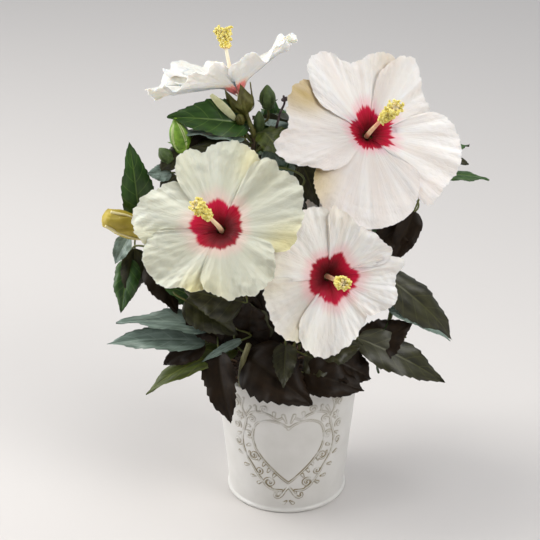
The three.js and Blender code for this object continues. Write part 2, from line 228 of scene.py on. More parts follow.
def petal(name, skin, warm, halo, size, feather, lobes, tones, through=0.5):
    """A hibiscus petal: thin crinkled tissue that lets light through, with a crimson eye whose rim is soft
    and lobed. skin is its two pale tones and a darker one, painted shade for petals that lie in shade. warm
    is the cream on its outer parts, partly a stain of its own and partly painted shade where other petals
    shade it, and halo the blush round the eye. size is the eye's size as a share of its outline,
    feather how far its rim runs in and out, lobes how close together, and tones its colours from the
    throat out. through is the share of the light that goes into the tissue."""
    sockets = {
        "Roughness": 0.55,
        "Specular IOR Level": 0.22,
        "Subsurface Weight": through,
        "Subsurface Radius": (1.0, 0.85, 0.7),
        "Subsurface Scale": 1.2 * MM,
    }
    material, tree, shader = start_material(name, sockets)
    place = add(tree, "Attribute", attribute_name="place").outputs["Vector"]
    streak = add(tree, "Attribute", attribute_name="streak").outputs["Vector"]
    stain = add(tree, "Attribute", attribute_name="stain").outputs["Vector"]
    # the cream share is partly painted shade, the second part darkens the eye on one side as painted shade,
    # and the third is painted shade on petals that lie in shade
    warmth, dusk, painted_shade = add(tree, "SeparateXYZ", {0: stain}).outputs
    # out is the distance from the throat as a share of the eye's outline there
    _, along, out = add(tree, "SeparateXYZ", {0: place}).outputs
    rim = add(tree, "TexNoise", {"Vector": streak, "Scale": lobes, "Detail": 2.0}).outputs["Fac"]
    limits = {"Value": rim, "From Min": 0.25, "From Max": 0.75, "To Min": -feather, "To Max": feather}
    swing = add(tree, "MapRange", limits).outputs["Result"]
    reach = add(tree, "Math", {0: out, 1: swing}, operation="ADD").outputs[0]
    limits = {"Value": reach, "From Min": size * 1.06, "From Max": size * 0.9}
    inside = add(tree, "MapRange", limits, interpolation_type="SMOOTHSTEP").outputs["Result"]
    limits = {"Value": reach, "From Min": size * 1.6, "From Max": size, "To Max": 0.5}
    glow = add(tree, "MapRange", limits, interpolation_type="SMOOTHSTEP").outputs["Result"]
    cloud = add(tree, "TexNoise", {"Vector": streak, "Scale": 0.35, "Detail": 2.0}).outputs["Fac"]
    pale = add(tree, "MapRange", {"Value": cloud, "From Min": 0.35, "From Max": 0.65}).outputs["Result"]
    uneven = add(tree, "Math", {0: pale, 1: 0.4, 2: 0.7}, operation="MULTIPLY_ADD").outputs[0]
    warmth = add(tree, "Math", {0: warmth, 1: uneven}, operation="MULTIPLY").outputs[0]
    body = add(tree, "Mix", {0: pale, 6: skin[0], 7: skin[1]}, data_type="RGBA").outputs[2]
    # painted shade: petals that lie in shade get the darker tone
    body = add(tree, "Mix", {0: painted_shade, 6: body, 7: skin[2]}, data_type="RGBA").outputs[2]
    # cream tint: partly the petal's own stain and partly painted shade where petals shade one another
    body = add(tree, "Mix", {0: warmth, 6: body, 7: warm}, data_type="RGBA").outputs[2]
    body = add(tree, "Mix", {0: glow, 6: body, 7: halo}, data_type="RGBA").outputs[2]
    # painted shade: the eye is darker towards one side
    depth = add(tree, "Math", {0: reach, 1: dusk}, operation="SUBTRACT").outputs[0]
    crimson = add(tree, "ValToRGB", {"Fac": depth}, tones).outputs["Color"]
    colour = add(tree, "Mix", {0: inside, 6: body, 7: crimson}, data_type="RGBA").outputs[2]
    veins = add(tree, "Mapping", {"Vector": streak, "Scale": (2.6, 0.8, 1.0)}).outputs["Vector"]
    fine = add(tree, "TexNoise", {"Vector": veins, "Scale": 1.0, "Detail": 4.0}).outputs["Fac"]
    creases = add(tree, "Mapping", {"Vector": streak, "Scale": (1.7, 7.0, 1.0)}).outputs["Vector"]
    crease = {"Vector": creases, "Scale": 1.0, "Detail": 3.0, "Distortion": 0.7}
    crease = add(tree, "TexNoise", crease).outputs["Fac"]
    limits = {"Value": along, "From Min": 0.4, "From Max": 1.0, "To Max": 2.2}
    far = add(tree, "MapRange", limits).outputs["Result"]
    height = add(tree, "Math", {0: crease, 1: far, 2: fine}, operation="MULTIPLY_ADD").outputs[0]
    bumps = add(tree, "Bump", {"Height": height, "Distance": 0.35 * MM}).outputs["Normal"]
    feed(tree, shader, {"Base Color": colour, "Normal": bumps})
    return material


def soft_tissue(name, low, high, grain_mm, roughness, depth_mm=0.1):
    """A small part of a plant, whose colour wanders between two tones over about that many millimetres."""
    material, tree, shader = start_material(name, {"Roughness": roughness})
    place = add(tree, "TexCoord").outputs["Object"]
    cloud = {"Vector": place, "Scale": 1 / (grain_mm * MM), "Detail": 3.0}
    cloud = add(tree, "TexNoise", cloud).outputs["Fac"]
    colour = add(tree, "ValToRGB", {"Fac": cloud}, [(0.35, low), (0.65, high)]).outputs["Color"]
    bumps = add(tree, "Bump", {"Height": cloud, "Distance": depth_mm * MM}).outputs["Normal"]
    feed(tree, shader, {"Base Color": colour, "Normal": bumps})
    return material


# Shapes: arrays of points in millimetres, gathered by kind and made into pieces


def unit(way):
    """The same way, or each of many, with length 1."""
    way = np.asarray(way, float)
    return way / np.linalg.norm(way, axis=-1, keepdims=True)


def ease(low, high, value):
    """0 below low, 1 above high, and smooth between."""
    t = np.clip((value - low) / (high - low), 0, 1)
    return t * t * (3 - 2 * t)


def drift(place, seed, size, octaves):
    """Smooth noise from about -1 to 1 at each row of place, with bumps of about that size."""
    chance = np.random.default_rng(seed)
    total = np.zeros(len(place))
    for octave in range(octaves):
        for _ in range(4):
            way = unit(chance.normal(size=place.shape[1]))
            turn = place @ way * 2 * math.pi * 2**octave / size
            total += 0.5**octave * np.sin(turn + chance.uniform(0, 2 * math.pi))
    return total / 4


def smooth_route(corners, step):
    """Points about step apart on a smooth curve through the corners."""
    corners = np.asarray(corners, float)
    gaps = np.linalg.norm(np.diff(corners, axis=0), axis=1)
    marks = np.concatenate([[0], np.cumsum(gaps)])
    slopes = np.gradient(corners, marks, axis=0)
    asked = np.linspace(0, marks[-1], max(3, int(marks[-1] / step) + 1))
    k = np.clip(np.searchsorted(marks, asked, side="right") - 1, 0, len(gaps) - 1)
    h = gaps[k][:, None]
    t = (asked - marks[k])[:, None] / h
    start = (2 * t**3 - 3 * t**2 + 1) * corners[k] + (t**3 - 2 * t**2 + t) * h * slopes[k]
    end = (3 * t**2 - 2 * t**3) * corners[k + 1] + (t**3 - t**2) * h * slopes[k + 1]
    return start + end


def grid_faces(rows, columns, closed=False):
    """Quads over a grid of points kept row by row; closed joins the last column to the first."""
    row = np.arange(rows - 1)[:, None] * columns
    column = np.arange(columns if closed else columns - 1)[None, :]
    after = (column + 1) % columns
    quads = [row + column, row + after, row + columns + after, row + columns + column]
    return np.stack(quads, axis=-1).reshape(-1, 4)


def capped_faces(rows, columns):
    """Faces over a grid that is closed round, with triangles from its first and its last row to the two
    points that follow the grid's own."""
    here = np.arange(columns)
    after = (here + 1) % columns
    last = (rows - 1) * columns
    middle = np.full(columns, rows * columns)
    none = np.full(columns, -1)
    foot = np.stack([after, here, middle, none], axis=1)
    top = np.stack([last + here, last + after, middle + 1, none], axis=1)
    return np.concatenate([grid_faces(rows, columns, closed=True), foot, top])


def outward(points, faces):
    """True if the closed mesh's faces point out. A triangle has -1 as its last corner."""
    a, b, c = (points[faces[:, i]] for i in range(3))
    volume = np.einsum("ij,ij->i", a, np.cross(b, c)).sum()
    quads = faces[faces[:, 3] >= 0]
    a, c, d = (points[quads[:, i]] for i in (0, 2, 3))
    return volume + np.einsum("ij,ij->i", a, np.cross(c, d)).sum() > 0


class Heap:
    """Small meshes of one kind, gathered to be joined into one piece."""

    def __init__(self):
        self.points, self.faces, self.tones, self.maps, self.marks, self.rims = [], [], [], [], [], []
        self.count = 0

    def add(self, points, faces, tone=0, maps=None, closed=True, rim=(), **marks):
        """tone is the number of the piece's material, maps the UV of each face corner, rim the numbers of
        the points on a sharp edge, and marks the values that the material reads at each point."""
        if closed and not outward(points - points.mean(axis=0), faces):
            faces = faces[:, ::-1]
        if maps is not None:
            self.maps.append(maps[faces >= 0])
        self.points.append(points)
        self.faces.append(np.where(faces >= 0, faces + self.count, -1))
        self.tones.append(np.broadcast_to(tone, len(faces)))
        self.marks.append(marks)
        self.rims.append(np.asarray(rim, int) + self.count)
        self.count += len(points)


def make_piece(name, heap, materials, replaced=()):
    """Joins a heap into one object that rides with the plant."""
    faces = np.concatenate(heap.faces)
    corners = faces[faces >= 0]
    sizes = (faces >= 0).sum(axis=1)
    mesh = bpy.data.meshes.new(name)
    mesh.vertices.add(heap.count)
    mesh.vertices.foreach_set("co", (np.concatenate(heap.points) * MM).ravel())
    mesh.loops.add(len(corners))
    mesh.loops.foreach_set("vertex_index", corners)
    mesh.polygons.add(len(faces))
    mesh.polygons.foreach_set("loop_start", np.cumsum(sizes) - sizes)
    mesh.polygons.foreach_set("material_index", np.concatenate(heap.tones))
    mesh.polygons.foreach_set("use_smooth", np.ones(len(faces), bool))
    for mark in sorted({mark for marks in heap.marks for mark in marks}):
        values = [marks.get(mark, np.zeros((len(p), 3))) for marks, p in zip(heap.marks, heap.points)]
        layer = mesh.attributes.new(mark, "FLOAT_VECTOR", "POINT")
        layer.data.foreach_set("vector", np.concatenate(values).ravel())
    # the UV map OFBake is made only when every part of the heap brings one
    if len(heap.maps) == len(heap.faces):
        layer = mesh.uv_layers.new(name="OFBake")
        layer.data.foreach_set("uv", np.concatenate(heap.maps).ravel())
    mesh.update(calc_edges=True)
    mesh.validate()
    # an edge is sharp where both of its ends lie on a rim, so the two faces of a thin sheet shade apart
    rim = np.zeros(heap.count, bool)
    rim[np.concatenate(heap.rims)] = True
    ends = np.empty(2 * len(mesh.edges), np.int32)
    mesh.edges.foreach_get("vertices", ends)
    layer = mesh.attributes.new("sharp_edge", "BOOLEAN", "EDGE")
    layer.data.foreach_set("value", rim[ends.reshape(-1, 2)].all(axis=1))
    for material in materials:
        mesh.materials.append(material)
    piece = bpy.data.objects.new(name, mesh)
    bpy.context.scene.collection.objects.link(piece)
    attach(piece, "root")
    if replaced:
        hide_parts(*replaced)
    print(name, len(corners) - 2 * len(faces), "triangles")


def tube(heap, route, radii, sides, relief=None, tone=0):
    """Adds a closed tube of the given radii along a route. relief(turn, reach) is a factor on the radius
    at each angle and distance along."""
    ways = unit(np.gradient(route, axis=0))
    side = unit(np.cross(ways[0], (0.31, 0.17, 0.94) if abs(ways[0][2]) < 0.9 else (1, 0, 0)))
    sides_on = []
    for way in ways:
        side = unit(side - (side @ way) * way)
        sides_on.append(side)
    sides_on = np.array(sides_on)
    across = np.cross(ways, sides_on)
    turn = np.arange(sides) * 2 * math.pi / sides
    reach = np.concatenate([[0], np.cumsum(np.linalg.norm(np.diff(route, axis=0), axis=1))])
    wide = np.repeat(np.broadcast_to(radii, len(route))[:, None], sides, axis=1)
    turns, reaches = np.meshgrid(turn, reach)
    if relief:
        wide = wide * relief(turns, reaches)
    ring = np.cos(turn)[None, :, None] * sides_on[:, None] + np.sin(turn)[None, :, None] * across[:, None]
    points = route[:, None] + ring * wide[:, :, None]
    caps = np.array([route[0] - ways[0] * wide[0, 0] * 0.5, route[-1] + ways[-1] * wide[-1, 0] * 0.5])
    points = np.concatenate([points.reshape(-1, 3), caps])
    place = np.stack([wide * np.cos(turns), wide * np.sin(turns), reaches], axis=-1).reshape(-1, 3)
    place = place[:, [0, 2, 1]] * BARK_STEPS
    place = np.concatenate([place, place[[0, -1]]])
    heap.add(points, capped_faces(len(route), sides), tone, place=place)


def knob(heap, middle, half, way, sides, rings, wobble, seed, tone=0):
    """Adds a small rounded body of these half sizes, its last axis along way. wobble is how uneven it is,
    as a share of its size."""
    up = unit(way)
    first = unit(np.cross(up, (0.2, 0.9, 0.1) if abs(up[1]) < 0.8 else (1, 0, 0)))
    second = np.cross(up, first)
    turn = np.arange(sides) * 2 * math.pi / sides
    rise = np.linspace(0, math.pi, rings + 1)[1:-1]
    ring = np.sin(rise)[:, None, None] * (
        np.cos(turn)[None, :, None] * first * half[0] + np.sin(turn)[None, :, None] * second * half[1]
    )
    points = (ring - np.cos(rise)[:, None, None] * up * half[2]).reshape(-1, 3)
    points = np.concatenate([points, [-up * half[2], up * half[2]]])
    points = points * (1 + wobble * drift(points, seed, 2.5 * max(half), 2))[:, None]
    heap.add(points + middle, capped_faces(rings - 1, sides), tone, place=points)


def blade(heap, upper, thickness, tones, cell, **marks):
    """Adds a thin closed sheet whose upper face is a grid of points. Both faces share the margin. cell is
    (left, bottom, width, height) of the piece's map: the upper face fills its left half."""
    rows, columns = upper.shape[:2]
    along = np.gradient(upper, axis=0)
    across = np.gradient(upper, axis=1)
    normal = unit(np.cross(along, across) + (0, 0, 1e-9))
    lower = upper - normal * thickness
    inner = lower[1:-1, 1:-1].reshape(-1, 3)
    points = np.concatenate([upper.reshape(-1, 3), inner])
    under = np.arange(rows * columns).reshape(rows, columns)
    under[1:-1, 1:-1] = rows * columns + np.arange(len(inner)).reshape(rows - 2, columns - 2)
    top = grid_faces(rows, columns)[:, ::-1]
    # both faces start each quad at the same corner, so that they split along the same diagonal
    turned = [0, 3, 2, 1]
    bottom = under.ravel()[top][:, turned]
    left, floor, width, height = cell
    u = np.broadcast_to(np.linspace(0.02, 0.48, columns)[None, :], (rows, columns)).ravel()
    v = np.broadcast_to(np.linspace(0.02, 0.98, rows)[:, None], (rows, columns)).ravel()
    flat = np.stack([left + width * u, floor + height * v], axis=1)
    maps = np.concatenate([flat[top], flat[top][:, turned] + (0.5 * width, 0)])
    faces = np.concatenate([top, bottom])
    tone = np.repeat(tones, len(top))
    for name, values in marks.items():
        marks[name] = np.concatenate([values.reshape(-1, 3), values[1:-1, 1:-1].reshape(-1, 3)])
    margin = np.ones((rows, columns), bool)
    margin[1:-1, 1:-1] = False
    heap.add(points, faces, tone, maps, closed=False, rim=np.flatnonzero(margin), **marks)


def ribbon(line, over, half, columns):
    """A grid of points along a line, across it from -half to half in the way of over."""
    return line[:, None] + over * (np.linspace(-1, 1, columns)[:, None] * half[:, None, None])


def cells(count):
    """That many equal cells of a map, each as (left, bottom, width, height)."""
    side = math.ceil(math.sqrt(count))
    return [(i % side / side, i // side / side, 1 / side, 1 / side) for i in range(count)]


def lathe(heap, radii, heights, turns, push=None, **marks):
    """Adds a closed turned body: radii and heights go from the middle of one end to the middle of the
    other. push moves each point of the rows by columns grid outwards."""
    rows, columns = len(radii), len(turns)
    wide = np.repeat(np.asarray(radii, float)[:, None], columns, axis=1)
    if push is not None:
        wide = wide + push
    high = np.asarray(heights, float)
    high = np.repeat(high[:, None], columns, axis=1) if high.ndim == 1 else high
    points = np.stack([wide * np.sin(turns), -wide * np.cos(turns), high], axis=-1).reshape(-1, 3)
    middles = np.array([[0, 0, high[0].mean()], [0, 0, high[-1].mean()]])
    points = np.concatenate([points, middles])
    for name, values in marks.items():
        flat = np.concatenate([values.ravel(), [0, 0]])
        marks[name] = np.stack([flat] * 3, axis=1)
    heap.add(points, capped_faces(rows, columns), **marks)


# The pot's embossed ornament: a heart in scrollwork, as (across, up) places on the unrolled wall.
# Only the right half is given; the left half mirrors it.

MOTIF_MIDDLE = 1.0
RIDGE_HEIGHT = 0.85
HEART = [
    (0, 94), (7, 99), (18, 101), (29, 96), (33.5, 83), (31, 69), (23, 57), (13, 46), (5, 38), (0, 33.5),
]
VINE = [(6, 25), (14, 25), (25, 35), (34, 48), (42, 60), (45, 74), (42, 88), (40, 98), (45, 109), (43, 119)]
OVER_LOBE = [(40, 98), (35, 106), (26, 109), (17, 107), (10, 103), (6, 105)]
FOOT_LEAF = [(0, 29), (3, 25), (6, 19.5), (9.5, 16.5), (12.5, 18), (12, 21)]
# Each curl: middle, outer radius, the angle where it starts, and turns, negative for clockwise
CURLS = [
    ((17, 33), 6.0, -100, 1.35),
    ((32, 60), 5.5, 20, -1.2),
    ((50, 70), 4.6, 170, 1.1),
    ((37.5, 81), 4.2, 40, 1.2),
    ((51, 88), 4.6, 200, -1.2),
    ((34, 99.5), 3.6, 30, 1.2),
    ((51.5, 112), 4.6, 190, -1.2),
    ((22, 113), 3.6, -60, 1.1),
    ((27, 44), 3.6, -30, -1.1),
]
# Each drop: from its point to its round end
DROPS = [
    ((28, 55), (27, 58.5)),
    ((23.5, 50), (22, 53)),
    ((19, 44), (17.5, 47)),
    ((14, 39), (12.5, 42)),
    ((38, 47), (42, 46)),
    ((31, 36), (35, 36)),
    ((45, 57), (49, 58)),
    ((40, 68), (37, 70)),
    ((46.5, 80), (49.5, 78)),
    ((40, 91), (37, 91)),
    ((40, 104), (36, 112)),
    ((46, 116), (50, 119)),
    ((30, 109), (31, 114)),
    ((13, 105), (13, 110)),
    ((2, 100), (5, 108)),
    ((1.6, 13), (4.2, 10.5)),
    ((8, 24), (9, 20.5)),
    ((24, 33), (28, 30)),
]
ROSETTE, ROSETTE_RADIUS = (47.5, 99), 3.1


def strokes():
    """Each stroke of the ornament: its route and its half width along it."""
    drawn = []
    for line, wide in ((HEART, 0.75), (VINE, 0.85), (OVER_LOBE, 0.75), (FOOT_LEAF, 0.95)):
        route = smooth_route(line, 2.0)
        drawn.append((route, np.full(len(route), wide)))
    for middle, radius, start, turns in CURLS:
        t = np.linspace(0, 1, 22)
        angle = math.radians(start) + turns * 2 * math.pi * t
        reach = radius * (1 - 0.78 * t)
        route = np.stack([middle[0] + reach * np.cos(angle), middle[1] + reach * np.sin(angle)], axis=1)
        drawn.append((route, 0.75 + 0.35 * t))
    for point, end in DROPS:
        drawn.append((np.array([point, end], float), np.array([0.45, 1.35])))
    for k in range(6):
        angle = math.radians(60 * k + 15)
        far = np.array(ROSETTE) + ROSETTE_RADIUS * np.array([math.cos(angle), math.sin(angle)])
        drawn.append((np.array([ROSETTE, far]), np.array([0.5, 1.25])))
    drawn.append((np.array([[0, 94], [0, 94.4]]), np.array([1.5, 1.5])))
    return drawn


def emboss(across, up):
    """The relief's height from 0 to 1 and the strength of the wash in its creases, at each place."""
    spot = np.stack([np.abs(across), up], axis=1)[:, None]
    near = np.full(len(spot), -9.0)
    for route, wide in strokes():
        start, step = route[None, :-1], np.diff(route, axis=0)[None]
        t = ((spot - start) * step).sum(axis=2) / (step**2).sum(axis=2)
        t = np.clip(t, 0, 1)
        gap = np.linalg.norm(spot - start - t[:, :, None] * step, axis=2)
        near = np.maximum(near, (wide[:-1] + t * np.diff(wide) - gap).max(axis=1))
    return ease(-0.15, 0.7, near), np.exp(-(((near + 0.15) / 0.42) ** 2))


def wall_radius(z):
    """The pot's outer radius at this height."""
    return FOOT_RADIUS + (TOP_RADIUS - FOOT_RADIUS) * (z - BEAD) / (POT_HEIGHT - 2 * BEAD)


def make_pot():
    """Tapered pressed pot, open at the top: one sheet turned from the middle of its underside, out over
    foot bead, embossed wall and rolled rim, and down the inside."""
    panel, step = 60, 0.7
    fine = np.linspace(-panel, panel, int(2 * math.radians(panel) * TOP_RADIUS / step))
    side = np.arange(panel + 3, 180 - panel, 3)
    turns = np.radians(np.concatenate([fine, side, fine + 180, side + 180]))
    foot = np.radians(np.linspace(-90, 60, 8))
    rim = np.radians(np.linspace(-60, 215, 14))
    wall = np.arange(2 * BEAD + 1, POT_HEIGHT - 2 * BEAD - 1, step)
    inside = np.array([POT_HEIGHT - 7, 90, 50, 12, 5, 2.2])
    floor = BEAD * 0.5
    radii = [4, 22, 42, FOOT_RADIUS - 2, *(FOOT_RADIUS + BEAD * np.cos(foot)), *wall_radius(wall)]
    heights = [floor, floor, floor, floor, *(BEAD + BEAD * np.sin(foot)), *wall]
    radii += [*(TOP_RADIUS + BEAD * np.cos(rim)), *(wall_radius(inside) - SHEET), 44, 4]
    heights += [*(POT_HEIGHT - BEAD + BEAD * np.sin(rim)), *inside, 1.7, 1.7]
    radii, heights = np.array(radii), np.array(heights)
    push = np.zeros((len(radii), len(turns)))
    wash = np.zeros_like(push)
    first = 4 + len(foot)
    rows = slice(first, first + len(wall))
    across = math.radians(1) * fine[None, :] * wall_radius(wall)[:, None] - MOTIF_MIDDLE
    up = np.repeat(wall[:, None], len(fine), axis=1)
    height, crease = emboss(across.ravel(), up.ravel())
    for start in (0, len(fine) + len(side)):
        columns = slice(start, start + len(fine))
        push[rows, columns] = RIDGE_HEIGHT * height.reshape(across.shape)
        # the wash is fainter towards the rim
        wash[rows, columns] = crease.reshape(across.shape) * (1.25 - 0.55 * ease(45, 100, up))
    heap = Heap()
    lathe(heap, radii, heights, turns, push, wash=wash)
    make_piece("pot_enamelled", heap, [enamel()], ["pot"])


def make_soil():
    """Compost filling the pot: an uneven top, with crumbs and bark chips lying in it."""
    chance = np.random.default_rng(SEED)
    turns = np.radians(np.arange(0, 360, 5))
    top = np.linspace(wall_radius(SOIL_TOP) - SHEET - 0.5, 2, 26)
    radii = np.concatenate([[4, wall_radius(100) - SHEET - 0.6], top])
    heights = np.repeat(np.concatenate([[100, 100], np.full(26, SOIL_TOP - 2.0)])[:, None], len(turns), 1)
    spots = np.stack([radii[:, None] * np.sin(turns), -radii[:, None] * np.cos(turns)], axis=-1)
    bumps = drift(spots.reshape(-1, 2), SEED, 22, 4).reshape(heights.shape)
    heights[2:] += 1.1 * bumps[2:]
    heap = Heap()
    lathe(heap, radii, heights, turns)
    for _ in range(CRUMBS):
        reach, turn = 61 * math.sqrt(chance.uniform(0.01, 1)), chance.uniform(0, 2 * math.pi)
        size = chance.uniform(0.7, 1.9)
        middle = (reach * math.sin(turn), reach * math.cos(turn), SOIL_TOP - 2 + chance.uniform(-0.4, 1.0))
        half = size * chance.uniform(0.6, 1.3, 3)
        knob(heap, middle, half, chance.normal(size=3), 6, 4, wobble=0.3, seed=chance.integers(1e6))
    for _ in range(BARK_CHIPS):
        reach, turn = 58 * math.sqrt(chance.uniform(0.02, 1)), chance.uniform(0, 2 * math.pi)
        middle = (reach * math.sin(turn), reach * math.cos(turn), SOIL_TOP - 0.8 + chance.uniform(0, 0.9))
        way = unit((*chance.normal(size=2), chance.uniform(-0.25, 0.25)))
        knob(heap, middle, (0.9, 1.8, chance.uniform(3, 6)), way, 6, 4, tone=1, wobble=0.3, seed=7)
    chips = soft_tissue("composted_bark_chip", "3A2A1C", "6A4E34", 5, 0.85, 0.5)
    make_piece("compost_top", heap, [compost(), chips], ["soil"])


# The wood


def bark_relief(seed, split):
    """Fissures along a limb, and a low ring every 17 mm where a leaf has fallen."""

    def relief(turn, reach):
        around = np.stack([5 * np.cos(turn), 5 * np.sin(turn), reach * 0.28], axis=-1).reshape(-1, 3)
        rough = drift(around, seed, 4.2, 3).reshape(turn.shape)
        ring = np.exp(-((((reach + 3 * seed) % 17 - 8.5) / 1.3) ** 2))
        return 1 + split * rough + 0.07 * ring

    return relief


def make_wood():
    """The trunk and boughs with their bark. Returns the places on them where twigs and stalks may start,
    each with the way that the wood grows there."""
    skin = bark()
    places = []
    for index, (name, corners) in enumerate([("trunk", TRUNK), *BOUGHS.items()]):
        route = smooth_route(corners, 1.3)
        reach = np.linspace(0, 1, len(route)) * np.linalg.norm(np.diff(route, axis=0), axis=1).sum()
        if name == "trunk":
            radii = TRUNK_RADIUS + (FORK_RADIUS - TRUNK_RADIUS) * reach / reach[-1]
            radii = radii + FLARE * np.clip(1 - (reach - 3) / 12, 0, 1) ** 2
        else:
            radii = BOUGH_RADIUS + (BOUGH_TIP_RADIUS - BOUGH_RADIUS) * reach / reach[-1]
            radii = radii + 1.6 * np.exp(-reach / 6)
        heap = Heap()
        tube(heap, route, radii, 22, bark_relief(index, 0.06 if name == "trunk" else 0.045))
        make_piece(name + "_bark", heap, [skin], [name])
        if name != "trunk":
            ways = unit(np.gradient(route, axis=0))
            far = reach > 0.4 * reach[-1]
            places.append(np.concatenate([route[far], ways[far]], axis=1)[::4])
    return np.concatenate(places)


def stalk(heap, wood, end, end_way, radii):
    """Adds a stalk from the nearest wood to end, where it arrives along end_way. Returns its route."""
    gaps = np.linalg.norm(wood[:, :3] - end, axis=1)
    start, way = np.split(wood[gaps.argmin()], 2)
    bend = 0.33 * gaps.min()
    corners = [start, start + bend * unit(way + unit(end - start)), end - bend * unit(end_way), end]
    route = smooth_route(corners, 2.5)
    tube(heap, route, np.linspace(*radii, len(route)), 7)
    return route


# Blooms: where each stands in the frame, and the outline of each petal in the bloom's own plane, as
# (degrees, distance from the throat) from one side of the petal to the other, anticlockwise.


def fan(axis, reach, half=46):
    """The outline of a plain petal: broad, with a slightly hollow end."""
    shape = [(-1, 0.42), (-0.97, 0.72), (-0.8, 0.93), (-0.45, 1.0), (0, 0.97)]
    shape += [(0.45, 1.0), (0.8, 0.93), (0.97, 0.7), (1, 0.4)]
    return [(axis + half * turn, reach * part) for turn, part in shape]


def lobed(first, reach):
    """The outline of a plain eye with five lobes, the first of them at that angle."""
    return [(first + 36 * k, reach * (1 - 0.22 * (k % 2))) for k in range(10)]
